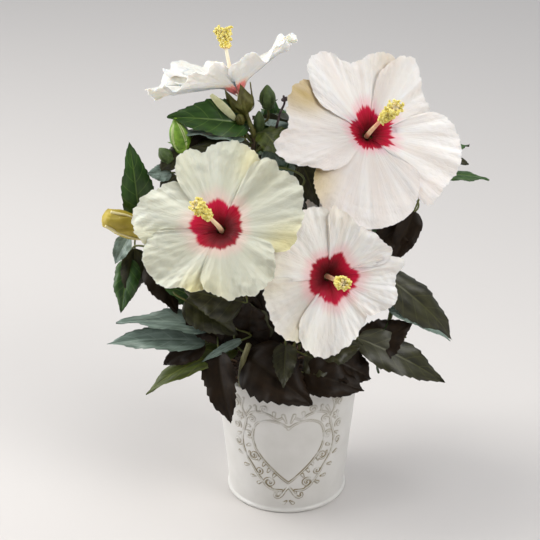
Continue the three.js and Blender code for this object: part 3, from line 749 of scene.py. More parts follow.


# lean is how far the column's tip stands off its foot, anthers the part of it where they begin and how far
# they stand out, eye the eye's outline, dusk the side where the eye is painted darker as shade and how
# much, and warm how strongly cream tints the first and the last side of each petal, partly a stain of its
# own and partly painted shade where another petal shades it, and how strongly painted shade darkens the
# petal.
BLOOMS = {
    "left": {
        "throat": (-58, -60, 287),
        "faces": (-0.14, -0.79, 0.585),
        "radius": 71,
        "looks": "cream",
        "lean": (-11, 9),
        "length": 42,
        "anthers": (0.66, 3.5),
        "ruffle": 1.45,
        "eye": [(0, 19), (20, 20), (45, 24), (65, 19), (90, 25), (115, 24), (140, 20), (160, 25)]
        + [(182, 26), (198, 22), (215, 23), (230, 21), (250, 19), (275, 18.5), (310, 20), (335, 20)],
        "dusk": (-50, 0.4),
        "warm": [(0.5, 0.1, 0.0), (0.0, 0.2, 0.0), (0.0, 0.7, 0.25), (0.3, 0.0, 0.6), (0.6, 0.1, 0.4)],
        "petals": [
            # outline, height gained at the end, lift of the first and of the last side
            ([(46, 25), (50, 48), (55, 65), (62, 69), (70, 72), (79, 74), (89, 72), (97, 68), (102, 64)]
             + [(106, 69), (113, 71), (120, 68), (128, 58), (134, 42), (136, 26)], 13, -2.0, 1.5),
            ([(124, 26), (128, 46), (135, 56), (144, 62), (153, 67), (160, 70), (169, 74), (177, 73)]
             + [(185, 69), (192, 64), (198, 52), (202, 36), (202, 24)], 12, -1.5, -2.5),
            ([(178, 26), (181, 46), (186, 57), (198, 66), (207, 70), (216, 70), (226, 69), (233, 65)]
             + [(238, 60), (246, 60), (255, 56), (262, 46), (266, 28)], 10, 2.5, -2.0),
            ([(248, 24), (250, 36), (253, 48), (262, 57), (271, 60), (280, 65), (288, 63), (295, 67)]
             + [(304, 68), (314, 66), (322, 62), (330, 56), (339, 49), (342, 38), (341, 25)], 12, 2.5, 2.5),
            ([(330, 26), (332, 45), (337, 60), (344, 66), (355, 69), (364, 73), (371, 73), (378, 77)]
             + [(386, 77), (394, 74), (401, 70), (408, 72), (415, 67), (420, 54), (423, 36), (423, 24)],
             14, -2.0, 2.5),
        ],
    },
    "right": {
        "throat": (69, 0, 349),
        "faces": (0.11, -0.83, 0.53),
        "radius": 76,
        "looks": "blush",
        "lean": (11, 9),
        "length": 56,
        "anthers": (0.68, 4.0),
        "ruffle": 0.8,
        "eye": [(10, 19), (30, 24), (45, 19), (68, 17), (90, 24), (110, 23)]
        + [(133, 16.5), (152, 19), (165, 19), (180, 15), (210, 13.5), (240, 13.5)]
        + [(265, 14), (290, 14), (315, 17), (335, 22), (347, 22)],
        "dusk": (-130, 0.12),
        "warm": [(0.0, 0.1, 0.0), (0.3, 0.0, 0.0), (1.0, 0.0, 0.4), (1.0, 0.0, 0.4), (0.0, 0.0, 0.0)],
        "petals": [
            ([(2, 25), (6, 44), (14, 56), (24, 56), (36, 57), (46, 63), (53, 70), (60, 74), (67, 71)]
             + [(74, 62), (81, 52), (84, 38), (84, 24)], 15, -2.0, 2.5),
            ([(62, 26), (65, 48), (69, 66), (77, 70), (85, 69), (92, 66), (98, 63), (105, 62), (112, 66)]
             + [(117, 75), (125, 80), (134, 79), (140, 70), (147, 59), (153, 48), (153, 36), (148, 25)],
             15, -2.0, 2.5),
            ([(132, 26), (134, 48), (139, 66), (148, 75), (158, 76), (168, 74), (178, 71), (184, 78)]
             + [(191, 85), (199, 82), (206, 73), (213, 60), (221, 54), (229, 44), (235, 33), (236, 24)],
             16, -2.0, 2.5),
            ([(206, 26), (210, 46), (217, 60), (226, 70), (236, 78), (246, 81), (257, 84), (268, 85)]
             + [(279, 84), (289, 81), (297, 77), (304, 70), (313, 61), (320, 54), (321, 44), (313, 26)],
             12, -1.0, 2.0),
            ([(300, 26), (303, 50), (305, 68), (308, 81), (315, 80), (324, 79), (334, 81), (344, 80)]
             + [(354, 77), (364, 72), (371, 67), (378, 58), (381, 44), (378, 25)], 12, -1.0, 2.5),
        ],
    },
    "low": {
        "throat": (35, -66, 244),
        "faces": (0.18, -0.92, 0.33),
        "radius": 64,
        "looks": "rose",
        "lean": (0, 0),
        "length": 51,
        "anthers": (0.68, 2.8),
        "ruffle": 0.95,
        "eye": [(0, 25), (30, 20), (50, 21), (68, 23), (90, 18), (118, 19), (150, 19), (180, 18)]
        + [(215, 20.5), (230, 21), (245, 18), (270, 23), (285, 24), (308, 21), (332, 22)],
        "dusk": (140, 0.3),
        "warm": [(0.0, 0.2, 0.0), (0.1, 0.4, 0.15), (0.4, 0.5, 0.45), (0.2, 0.0, 0.1), (0.0, 0.0, 0.0)],
        "petals": [
            ([(8, 24), (12, 42), (18, 54), (26, 57), (35, 53), (44, 53), (52, 51), (60, 50), (68, 51)]
             + [(76, 56), (83, 58), (89, 62), (94, 55), (93, 40), (90, 24)], 16, -2.0, 0.7),
            ([(82, 24), (85, 44), (92, 56), (99, 61), (107, 63), (114, 64), (121, 58), (131, 56), (143, 58)]
             + [(154, 58), (165, 58), (175, 56), (182, 46), (184, 26)], 15, -0.5, 0.5),
            ([(172, 24), (175, 44), (182, 57), (193, 60), (203, 61), (213, 62), (223, 65), (233, 64)]
             + [(242, 60), (250, 50), (254, 38), (252, 24)], 12, 0.3, -2.0),
            ([(236, 23), (232, 33), (231, 43), (237, 53), (245, 62), (254, 66), (264, 68), (270, 66)]
             + [(278, 60), (287, 57), (294, 54), (302, 50), (311, 46), (317, 36), (318, 23)], 12, 2.5, 2.0),
            ([(304, 24), (308, 38), (315, 46), (325, 52), (334, 57), (343, 59), (353, 56), (361, 56)]
             + [(368, 62), (373, 64), (378, 57), (382, 42), (382, 25)], 11, -2.0, 2.0),
        ],
    },
    "top": {
        "throat": (-45, 28, 383),
        "faces": (-0.33, 0.36, 0.87),
        "radius": 69,
        "looks": "white",
        "lean": (5, 2),
        "length": 45,
        "anthers": (0.76, 5.0),
        "ruffle": 1.5,
        "eye": lobed(14, 24),
        "dusk": (0, 0.0),
        "warm": [(0.0, 0.0, 0.0), (0.3, 0.0, 0.0), (0.5, 0.0, 0.0), (0.0, 0.0, 0.2), (0.0, 0.0, 0.0)],
        "petals": [
            (fan(-56, 62, 42), 19, -2.0, 2.0),
            (fan(14, 63, 40), 29, -2.0, 2.0),
            (fan(118, 66), 40, -15.0, 2.0),
            (fan(170, 75, 42), 18, 17.0, 2.0),
            (fan(230, 65, 40), 18, -2.0, 2.0),
        ],
    },
    "back": {
        "throat": (28, 102, 216),
        "faces": (0.15, 0.9, 0.38),
        "radius": 62,
        "looks": "blush",
        "lean": (-4, -7),
        "length": 54,
        "anthers": (0.62, 5.5),
        "ruffle": 1.0,
        "eye": lobed(18, 22),
        "dusk": (-90, 0.15),
        "warm": [(0.4, 0.0, 0.1), (0.3, 0.2, 0.0), (0.0, 0.6, 0.4), (0.2, 0.0, 0.2), (0.0, 0.7, 0.0)],
        "petals": [
            (fan(18, 62), 12, -2.0, 2.0),
            (fan(88, 60), 13, -2.0, 2.0),
            (fan(162, 62), 12, -2.0, 2.0),
            (fan(234, 59), 11, -2.0, 2.0),
            (fan(305, 63), 13, -2.0, 2.0),
        ],
    },
}
CALYX_FOOT = -27
PETAL_ROWS, PETAL_COLUMNS = 48, 97
PETAL_THICKNESS = 0.45
FILAMENTS = 170
FILAMENT_RADIUS = 0.26
STIGMA_HALF = (1.35, 1.35, 1.0)


def plane(bloom):
    """The bloom's own axes: right, up and out of its face, as the rows of a matrix."""
    out = unit(bloom["faces"])
    right = unit(np.array([1.0, 0, 0]) - out[0] * out)
    return np.array([right, np.cross(out, right), out])


def stand(bloom, points):
    """Places in the bloom's own axes as places in the frame."""
    return np.asarray(points, float) @ plane(bloom) + np.array(bloom["throat"])


def cup(bloom, reach):
    """How far in front of the throat the petals lie at this distance from it."""
    return 13 * (reach / bloom["radius"]) ** 1.25


def folds(degree, along, count, wide, tall, chance):
    """Soft ridges and valleys that fan out from the throat, each with its own place, width and length."""
    total = 0 * along * degree
    for _ in range(count):
        middle = chance.uniform(-42, 42) + chance.uniform(-8, 8) * along
        half = wide * chance.uniform(0.6, 1.5)
        start = chance.uniform(0.3, 0.6)
        size = tall * chance.uniform(0.35, 1) * chance.choice((-1, 1))
        total = total + size * np.exp(-(((degree - middle) / half) ** 2)) * ease(start, start + 0.45, along)
    return total


def petal_sheet(bloom, outline, rise, first_lift, last_lift, warm, seed):
    """The upper face of one petal as a grid, with what its material reads at each point."""
    chance = np.random.default_rng(seed)
    degrees, reaches = np.array(outline, float).T
    angles = np.radians(degrees)
    margin = np.stack([reaches * np.cos(angles), reaches * np.sin(angles)], axis=1)
    margin = smooth_route(margin, 0.8)
    marks = np.concatenate([[0], np.cumsum(np.linalg.norm(np.diff(margin, axis=0), axis=1))])
    asked = np.linspace(0, marks[-1], PETAL_COLUMNS)
    margin = np.stack([np.interp(asked, marks, margin[:, i]) for i in range(2)], axis=1)
    axis = math.radians((degrees[0] + degrees[-1]) / 2)
    turn = (np.arctan2(margin[:, 1], margin[:, 0]) - axis + math.pi) % (2 * math.pi) - math.pi
    across = np.linspace(-1, 1, PETAL_COLUMNS)[None, :]
    side = np.abs(across)
    along = (np.linspace(0.045, 1, PETAL_ROWS) ** 0.9)[:, None]
    spread = turn[None, :] * (0.7 + 0.3 * ease(0.0, 0.4, along))
    edge = np.repeat(asked[None, :], PETAL_ROWS, axis=0)
    shiver = (drift(asked[:, None], seed, 11, 2) + 0.6 * drift(asked[:, None], seed + 9, 4.5, 1))[None, :]
    reach = np.hypot(*margin.T)[None, :] * along
    reach = reach * (1 + 0.016 * shiver * ease(0.7, 1, along) * (1 - side**6))
    angle = axis + spread
    high = rise * (reach / bloom["radius"]) ** 1.25 - 10 * np.exp(-((reach / 8) ** 2))
    lift = np.where(across < 0, first_lift, last_lift) * ease(0.08, 0.5, side)
    high = high + lift * ease(0.15, 0.7, reach / bloom["radius"])
    calm = 1 - 0.85 * ease(0.42, 0.92, side)
    # waves of the margin from broad to fine, dying away towards the throat
    for size, length, start in ((3.4, 42, 2.0), (2.4, 19, 3.0), (1.1, 8.5, 4.0)):
        spots = np.stack([edge.ravel(), 0.2 * reach.ravel()], axis=1)
        wave = drift(spots, seed + int(length), length, 1).reshape(high.shape)
        high = high + bloom["ruffle"] * size * wave * along**start * calm
    lip = drift(asked[:, None], seed + 5, 34, 1)[None, :]
    high = high + 2.2 * bloom["ruffle"] * (lip - 0.4) * ease(0.8, 1, along) ** 2 * calm
    degree = np.degrees(spread) + 0 * along
    high = high + calm * folds(degree, along, 8, 7.5, 1.3, chance)
    high = high + calm * folds(degree, along, 22, 1.8, 0.6, chance)
    # crinkles, longer than they are wide, that come out towards the margin
    spots = np.stack([degree.ravel() / 1.8, reach.ravel() / 4.0], axis=1)
    crinkle = drift(spots, seed, 3.2, 2).reshape(high.shape)
    high = high + bloom["ruffle"] * crinkle * calm * (0.15 + 0.5 * ease(0.45, 0.95, along))
    points = np.stack([reach * np.cos(angle), reach * np.sin(angle), high], axis=-1)
    whole = np.ones_like(reach)
    rim_degrees, rim_reaches = np.array(bloom["eye"], float).T
    rim = np.interp(np.degrees(angle), rim_degrees, rim_reaches, period=360)
    place = np.stack([across * whole, along * whole, reach / rim], axis=-1)
    streak = np.stack([np.degrees(angle) / 4, reach / 40, seed % 97 * 1.7 * whole], axis=-1)
    part = turn[None, :] / np.abs(turn).max()
    # cream on the outer sides: partly a stain of the petal's own and partly painted shade where petals
    # shade one another
    warmth = warm[0] * ease(0.15, 0.65, -part) + warm[1] * ease(0.15, 0.65, part)
    warmth = warmth * ease(0.4, 0.85, reach / bloom["radius"])
    # painted shade: the eye is darker towards one side of the bloom
    darkest, strength = bloom["dusk"]
    dusk = strength * ease(-0.6, 0.8, np.cos(angle - math.radians(darkest)))
    # the third value is painted shade on petals that lie in shade
    return points, place, streak, np.stack([warmth, dusk, warm[2] * whole], axis=-1)


def make_petals(name, bloom, tissues, index):
    """The five petals of one bloom, each a thin sheet of its own. tissues are its face and its back."""
    heap = Heap()
    for k, (outline, rise, first_lift, last_lift) in enumerate(bloom["petals"]):
        seed = SEED + 10 * index + k
        warm = bloom["warm"][k]
        points, place, streak, stain = petal_sheet(bloom, outline, rise, first_lift, last_lift, warm, seed)
        strip = (0, k / 5, 1, 1 / 5)
        rows, columns = points.shape[:2]
        upper = stand(bloom, points.reshape(-1, 3)).reshape(rows, columns, 3)
        blade(heap, upper, PETAL_THICKNESS, (0, 1), strip, place=place, streak=streak, stain=stain)
    make_piece(f"petals_{name}", heap, tissues, [f"bloom_{name}"])


def make_stamens(blooms, materials):
    """The long column of each bloom, with filaments and anthers round its outer part and five stigma
    pads at its tip."""
    columns, anthers = Heap(), Heap()
    for index, bloom in enumerate(blooms):
        chance = np.random.default_rng(SEED + 300 + index)
        long, (right, up) = bloom["length"], bloom["lean"]
        bends = [(0, 0, -11), (0, 0, 14), (0.3 * right, 0.3 * up, 0.6 * long), (right, up, long)]
        route = smooth_route(bends, 1.5)
        reach = np.linspace(0, 1, len(route))
        tube(columns, stand(bloom, route), 2.3 - 1.1 * reach, 12, tone=int(bloom["looks"] == "white"))
        ways = unit(np.gradient(route, axis=0))
        first, spread = bloom["anthers"]
        for k in range(FILAMENTS):
            rise = (k + chance.uniform(0, 1)) / FILAMENTS
            part = first + (0.99 - first) * rise
            spot = int(part * (len(route) - 1))
            turn = 2.4 * k + chance.uniform(-0.3, 0.3)
            way = ways[spot]
            side = unit(np.cross(way, (math.cos(turn), math.sin(turn), 0.2)))
            out = unit(side + way * chance.uniform(0.3, 1.0))
            far = chance.uniform(0.6, 1.15) * (3.6 + spread * rise)
            end = route[spot] + out * far + way * far * 0.3
            thread = smooth_route([route[spot], route[spot] + out * far * 0.6, end], far / 3)
            tube(anthers, stand(bloom, thread), FILAMENT_RADIUS, 5, tone=0)
            half = np.array([1.0, 1.3, 1.7]) * chance.uniform(0.85, 1.2)
            lie = plane(bloom).T @ unit(side + 0.6 * chance.normal(size=3))
            knob(anthers, stand(bloom, end), half, lie, 7, 5, tone=1, wobble=0.12, seed=k)
        for k in range(5):
            turn = 2 * math.pi * k / 5 + 0.4 * index
            side = np.array([math.cos(turn), math.sin(turn), 0])
            end = route[-1] + 2.8 * ways[-1] + 2.8 * side
            style = smooth_route([route[-1] - ways[-1], route[-1] + 1.6 * ways[-1] + side, end], 1.0)
            tube(anthers, stand(bloom, style), 0.4, 6, tone=0)
            top = stand(bloom, end)
            knob(anthers, top, STIGMA_HALF, bloom["faces"], 9, 6, tone=2, wobble=0.1, seed=k)
    make_piece("stamen_columns", columns, materials[:2])
    make_piece("anthers", anthers, materials[2:])


def make_calyx(heap, bloom):
    """The calyx: a ribbed green cup with five pointed lobes, and a ring of narrow bracts under it."""
    turns = np.linspace(0, 2 * math.pi, 61)[:-1]
    saw = np.abs((5 * turns / (2 * math.pi)) % 1 * 2 - 1)
    tops = -14 + 12.5 * saw**1.1
    part = np.linspace(0, 1, 16)[:, None]
    ribs = 1 + 0.035 * np.cos(10 * turns)
    radii = (2.2 + 8.0 * ease(0, 0.5, part) - 0.6 * ease(0.5, 0.8, part)) * ribs + 3 * part**3
    heights = CALYX_FOOT + part * (tops - CALYX_FOOT)
    inner = radii[::-1] - 0.7
    wide = np.concatenate([radii, inner])
    high = np.concatenate([heights, heights[::-1] + 0.3])
    turned = np.stack([wide * np.cos(turns), wide * np.sin(turns), high], axis=-1).reshape(-1, 3)
    rows, count = len(wide), len(turns)
    body = grid_faces(rows, count, closed=True)
    here = np.arange(count)
    after = (here + 1) % count
    last = (rows - 1) * count
    joined = np.stack([last + here, last + after, after, here], axis=1)
    heap.add(stand(bloom, turned), np.concatenate([body, joined]), 0, place=turned)
    for k in range(7):
        turn = 2 * math.pi * (k + 0.3) / 7
        out = np.array([math.cos(turn), math.sin(turn), 0])
        over = np.array([-math.sin(turn), math.cos(turn), 0])
        route = smooth_route([2.5 * out - (0, 0, 26), 8 * out - (0, 0, 23), 11.5 * out - (0, 0, 14)], 1.4)
        half = 1.3 * np.sin(np.linspace(0.5, math.pi - 0.15, len(route))) ** 0.8
        grid = ribbon(route, over, half, 5)
        grid[:, 2] -= 0.3 * out
        upper = stand(bloom, grid.reshape(-1, 3)).reshape(grid.shape)
        blade(heap, upper, 0.35, (0, 0), (0, 0, 1, 1), place=grid)


# Leaves: each is seated by its foot, its tip and the way that its face looks

LEAF_ROWS = 34
LEAF_COLUMNS = np.array([-1, -0.8, -0.55, -0.3, -0.08, 0, 0.08, 0.3, 0.55, 0.8, 1])
LEAF_THICKNESS = 0.3
TEETH = 9
# Of these tones, sheen is painted reflection of the bright sky on glossy leaves, and shadow is painted
# shade.
LEAF_TONES = ("deep", "green", "sheen", "olive", "shadow")

# Sprays of leaves fill the masses. A mass gets one for each SPRAY_VOLUME of its box, in cubic millimetres,
# and at most MOST_SPRAYS. A spray has up to SPRAY_LEAVES leaves, each LEAF_TURN round its twig from the one
# before and its middle at least LEAF_GAP from any other leaf's. Twigs grow away from CROWN_HEART.
SPRAY_VOLUME, MOST_SPRAYS = 150000, 8
SPRAY_LEAVES = 9
LEAF_TURN = math.radians(137.5)
LEAF_GAP = 11
CROWN_HEART = (0, 0, 175)

# How far leaves stay from a bloom: round its petals, behind them and in front of them
BLOOM_MARGIN, BEHIND_BLOOM, BEFORE_BLOOM = 4, 7, 64

# The leaves that stand out in the plant: foot, tip, width, facing, how far the blade bends down over its
# length in degrees, and tone
KEY_LEAVES = [
    # the left side, from the top down
    ((-101, 3, 312), (-122, 0, 312), 17, (0.1, -0.8, 0.6), 20, "sheen"),
    ((-97, 3, 309), (-112, -2, 299), 15, (0.3, -0.8, 0.5), 20, "deep"),
    ((-131, 10, 264), (-137, 5, 339), 31, (0.35, -0.9, 0.2), 15, "green"),
    ((-86, 6, 333), (-113, 2, 313), 20, (0.0, -0.85, 0.5), 20, "deep"),
    ((-140, 4, 251), (-153, -2, 227), 17, (-0.3, -0.8, 0.4), 20, "sheen"),
    ((-140, 8, 228), (-149, -4, 180), 25, (-0.2, -0.9, 0.2), 25, "green"),
    ((-136, 12, 236), (-142, 2, 190), 28, (0.4, -0.85, 0.2), 25, "deep"),
    ((-122, -4, 229), (-97, -30, 192), 30, (0.2, -0.8, 0.55), 25, "shadow"),
    # low on the left, out over the table
    ((-64, -33, 181), (-151, -32, 184), 27, (0.0, -0.45, 0.9), 22, "sheen"),
    ((-72, -35, 167), (-159, -38, 166), 28, (0.05, -0.6, 0.8), 35, "sheen"),
    ((-73, -36, 166), (-110, -42, 147), 26, (0.05, -0.6, 0.8), 30, "shadow"),
    ((-44, -30, 156), (-126, -45, 119), 25, (0.0, -0.5, 0.85), 65, "olive"),
    ((-40, -40, 171), (-76, -46, 152), 9, (0.0, -0.7, 0.7), 35, "sheen"),
    ((-20, -22, 178), (-74, -24, 158), 36, (0.0, -0.85, 0.5), 20, "shadow"),
    # under the left bloom
    ((-39, -42, 209), (-90, -40, 219), 42, (-0.1, -0.8, 0.5), 30, "deep"),
    ((-90, -30, 205), (-44, -42, 177), 36, (0.1, -0.8, 0.5), 25, "deep"),
    ((-84, -26, 196), (-56, -38, 164), 34, (0.1, -0.8, 0.5), 25, "shadow"),
    # upright before the fork, between the left and the low bloom
    ((-6, -26, 160), (-22, -36, 222), 44, (0.1, -0.95, 0.2), 15, "shadow"),
    ((-34, -28, 172), (-30, -38, 214), 34, (-0.1, -0.95, 0.2), 15, "shadow"),
    ((10, -28, 160), (4, -36, 214), 34, (0.1, -0.95, 0.2), 15, "shadow"),
    # over the pot's rim
    ((-61, -44, 162), (-50, -67, 102), 34, (-0.35, -0.9, 0.25), 30, "shadow"),
    ((-37, -44, 160), (21, -79, 127), 56, (-0.1, -0.8, 0.6), 35, "shadow"),
    ((-2, -50, 172), (-4, -80, 145), 23, (0.0, -0.75, 0.65), 15, "deep"),
    ((13, -55, 147), (67, -62, 132), 38, (0.0, -0.75, 0.65), 35, "shadow"),
    ((16, -44, 158), (46, -56, 146), 34, (0.0, -0.75, 0.65), 20, "deep"),
    ((27, -42, 160), (66, -40, 166), 34, (0.0, -0.75, 0.65), 20, "deep"),
    ((38, -46, 156), (74, -44, 134), 38, (0.1, -0.7, 0.7), 25, "shadow"),
    # the right side, from the rim up
    ((61, -36, 171), (140, -30, 123), 36, (0.05, -0.7, 0.7), 35, "deep"),
    ((66, -30, 156), (110, -25, 180), 40, (0.0, -0.8, 0.6), 25, "shadow"),
    ((84, -22, 226), (147, -10, 157), 36, (0.35, -0.75, 0.5), 45, "deep"),
    ((88, -27, 196), (146, -17, 158), 12, (0.1, -0.6, 0.8), 35, "sheen"),
    ((110, -6, 280), (92, -16, 234), 24, (0.2, -0.9, 0.3), 25, "shadow"),
    ((104, -4, 272), (74, -12, 246), 30, (0.1, -0.9, 0.4), 20, "shadow"),
    ((138, 28, 300), (180, 38, 291), 15, (0.1, -0.35, 0.9), 25, "green"),
    # between the blooms
    ((-12, 14, 339), (6, 4, 318), 24, (0.0, -0.6, 0.8), 20, "sheen"),
    ((12, 0, 322), (27, -8, 284), 26, (0.2, -0.9, 0.3), 20, "deep"),
    ((4, -25, 300), (-24, -38, 262), 34, (0.0, -0.9, 0.4), 20, "shadow"),
    # between the left and the top bloom
    ((-50, 12, 338), (-95, 4, 333), 32, (0.0, -0.8, 0.6), 20, "shadow"),
    ((-33, 20, 350), (-104, 10, 360), 36, (-0.1, -0.75, 0.6), 30, "green"),
    ((-37, 14, 341), (-92, 3, 347), 24, (-0.1, -0.45, 0.9), 25, "sheen"),
    ((-33, 10, 336), (-85, 0, 336), 26, (-0.1, -0.6, 0.8), 20, "deep"),
    ((-22, 16, 346), (-2, -2, 326), 30, (0.1, -0.5, 0.8), 25, "olive"),
]

# Masses that show against the table in the photo, so that only the leaves above stand in them
PLACED_ONLY = ("left_hanging", "low_left_tip", "over_rim_left", "over_rim_front", "over_rim_right")

# Gaps in the crown, through which the photo shows what is behind it: a place in the gap and how wide the
# gap is there. They run through the crown along this way.
GAP_WAY = (0, 0.906, -0.423)
GAPS = [
    ((128, 0, 276), 13),
    ((122, 0, 250), 9),
    ((-118, 0, 296), 10),
    ((-141, 0, 160), 22),
    ((-112, 0, 138), 16),
    ((100, 0, 128), 14),
    ((125, 0, 138), 15),
    ((-87, 0, 109), 13),
    ((-102, 0, 96), 15),
]


def leaf_sheet(long, wide, bend, seed):
    """A toothed leaf as a grid, row by row from foot to tip: its foot at the origin, its tip on +X at
    that distance, its face looking along +Z. bend is how far it turns down over its length, in radians."""
    chance = np.random.default_rng(seed)
    v = np.linspace(0, 1, LEAF_ROWS)[:, None]
    u = LEAF_COLUMNS[None, :]
    side = np.abs(u)
    half = 0.5 * wide * np.sin(math.pi * v**0.62) ** 0.85 * (1 - 0.2 * ease(0.72, 1, v))
    tooth = (TEETH * v**1.15 + chance.uniform(0, 1)) % 1
    cut = chance.uniform(0.06, 0.15) * ease(0.12, 0.3, v) * (1 - tooth) * ease(0.7, 1, side)
    across = u * half * (1 - cut) * (1 + 0.05 * u * math.sin(seed))
    turn = bend * (0.42 - v[:, 0] ** chance.uniform(1.0, 1.6))
    spine = np.stack([np.cos(turn), np.zeros(LEAF_ROWS), np.sin(turn)], axis=1)
    spine = np.concatenate([[(0, 0, 0)], np.cumsum(spine[1:], axis=0)])
    chord = np.linalg.norm(spine[-1])
    dip = math.atan2(spine[-1, 2], spine[-1, 0])
    level = np.array([[math.cos(dip), 0, -math.sin(dip)], [0, 1, 0], [math.sin(dip), 0, math.cos(dip)]])
    spine = spine @ level * (long / chord)
    ways = unit(np.gradient(spine, axis=0))
    ups = np.stack([-ways[:, 2], np.zeros(LEAF_ROWS), ways[:, 0]], axis=1)
    fold = chance.uniform(0.15, 0.5)
    veins = 2 * VEIN_PAIRS * v - VEIN_LEAN * side
    valley = 1 - np.abs(veins % 2 - 1)
    quilt = 0.03 * wide * valley * np.sin(math.pi * np.clip(side, 0, 1)) ** 0.6 * ease(0, 0.15, v)
    phase = chance.uniform(0, 2 * math.pi, 2)
    left_wave = np.sin(2 * math.pi * 2.3 * v + phase[0])
    wave = np.where(u < 0, left_wave, np.sin(2 * math.pi * 2.7 * v + phase[1]))
    curl = chance.uniform(0.0, 0.5)
    high = (fold * side**1.2 - curl * side**3) * half + quilt
    high = high + 0.06 * wide * wave * side**2 * ease(0, 0.2, v)
    twist = chance.uniform(-0.5, 0.5) * (v - 0.3)
    flat = across * np.cos(twist) - high * np.sin(twist)
    high = across * np.sin(twist) + high * np.cos(twist)
    lean = 0.016 * long * tooth * side**4 * ease(0.1, 0.3, v)
    points = spine[:, None] + flat[..., None] * np.array([0, 1.0, 0]) + high[..., None] * ups[:, None]
    points = points + lean[..., None] * ways[:, None]
    # the third number gives each leaf its own part of the noise
    own = np.full((LEAF_ROWS, len(LEAF_COLUMNS)), seed % 89 / 9)
    return points, np.stack([u + 0 * v, v + 0 * u, own], axis=-1)


def leaf_points(foot, tip, wide, faces, bend, seed):
    """A leaf's grid of points in the frame, and what its material reads there."""
    foot, tip = np.array(foot, float), np.array(tip, float)
    long = np.linalg.norm(tip - foot)
    way = (tip - foot) / long
    up = unit(np.array(faces, float) - (np.array(faces) @ way) * way)
    axes = np.array([way, np.cross(up, way), up])
    points, place = leaf_sheet(long, wide, math.radians(bend), seed)
    return foot + points @ axes, place


class Crown:
    """Decides where leaves may lie: in the frame's box, in or near the masses of foliage, clear of the
    pot and of the faces of the blooms."""

    def __init__(self, masses):
        self.low, self.high = (np.array(side) / MM for side in cad_box)
        self.trees = []
        for name in masses:
            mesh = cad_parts[name].data
            corners = [vertex.co for vertex in mesh.vertices]
            self.trees.append(BVHTree.FromPolygons(corners, [face.vertices for face in mesh.polygons]))

    def outside(self, point):
        """How far a place lies outside the nearest mass, negative inside."""
        best = 1e9
        for tree in self.trees:
            near, normal, _, gap = tree.find_nearest(Vector(point) * MM)
            far = gap / MM * (1 if (Vector(point) * MM - near).dot(normal) > 0 else -1)
            best = min(best, far)
        return best

    def clear(self, points, slack):
        """True if all of the points may be taken up by a leaf."""
        if (points < self.low + 1).any() or (points > self.high - 1).any():
            return False
        for place, radius in GAPS:
            gap = np.cross(points - place, GAP_WAY)
            if (np.linalg.norm(gap, axis=1) < radius).any():
                return False
        across = np.hypot(points[:, 0], points[:, 1])
        if ((across < TOP_RADIUS + 3) & (points[:, 2] < POT_HEIGHT + 3)).any():
            return False
        for bloom in BLOOMS.values():
            side, up, out = ((points - bloom["throat"]) @ plane(bloom).T).T
            reach = np.hypot(side, up)
            near = (reach < bloom["radius"] + BLOOM_MARGIN) & (out < BEFORE_BLOOM)
            if (near & (out > cup(bloom, reach) - BEHIND_BLOOM)).any():
                return False
        return all(self.outside(point) < slack for point in points[:: 1 + len(points) // 7])


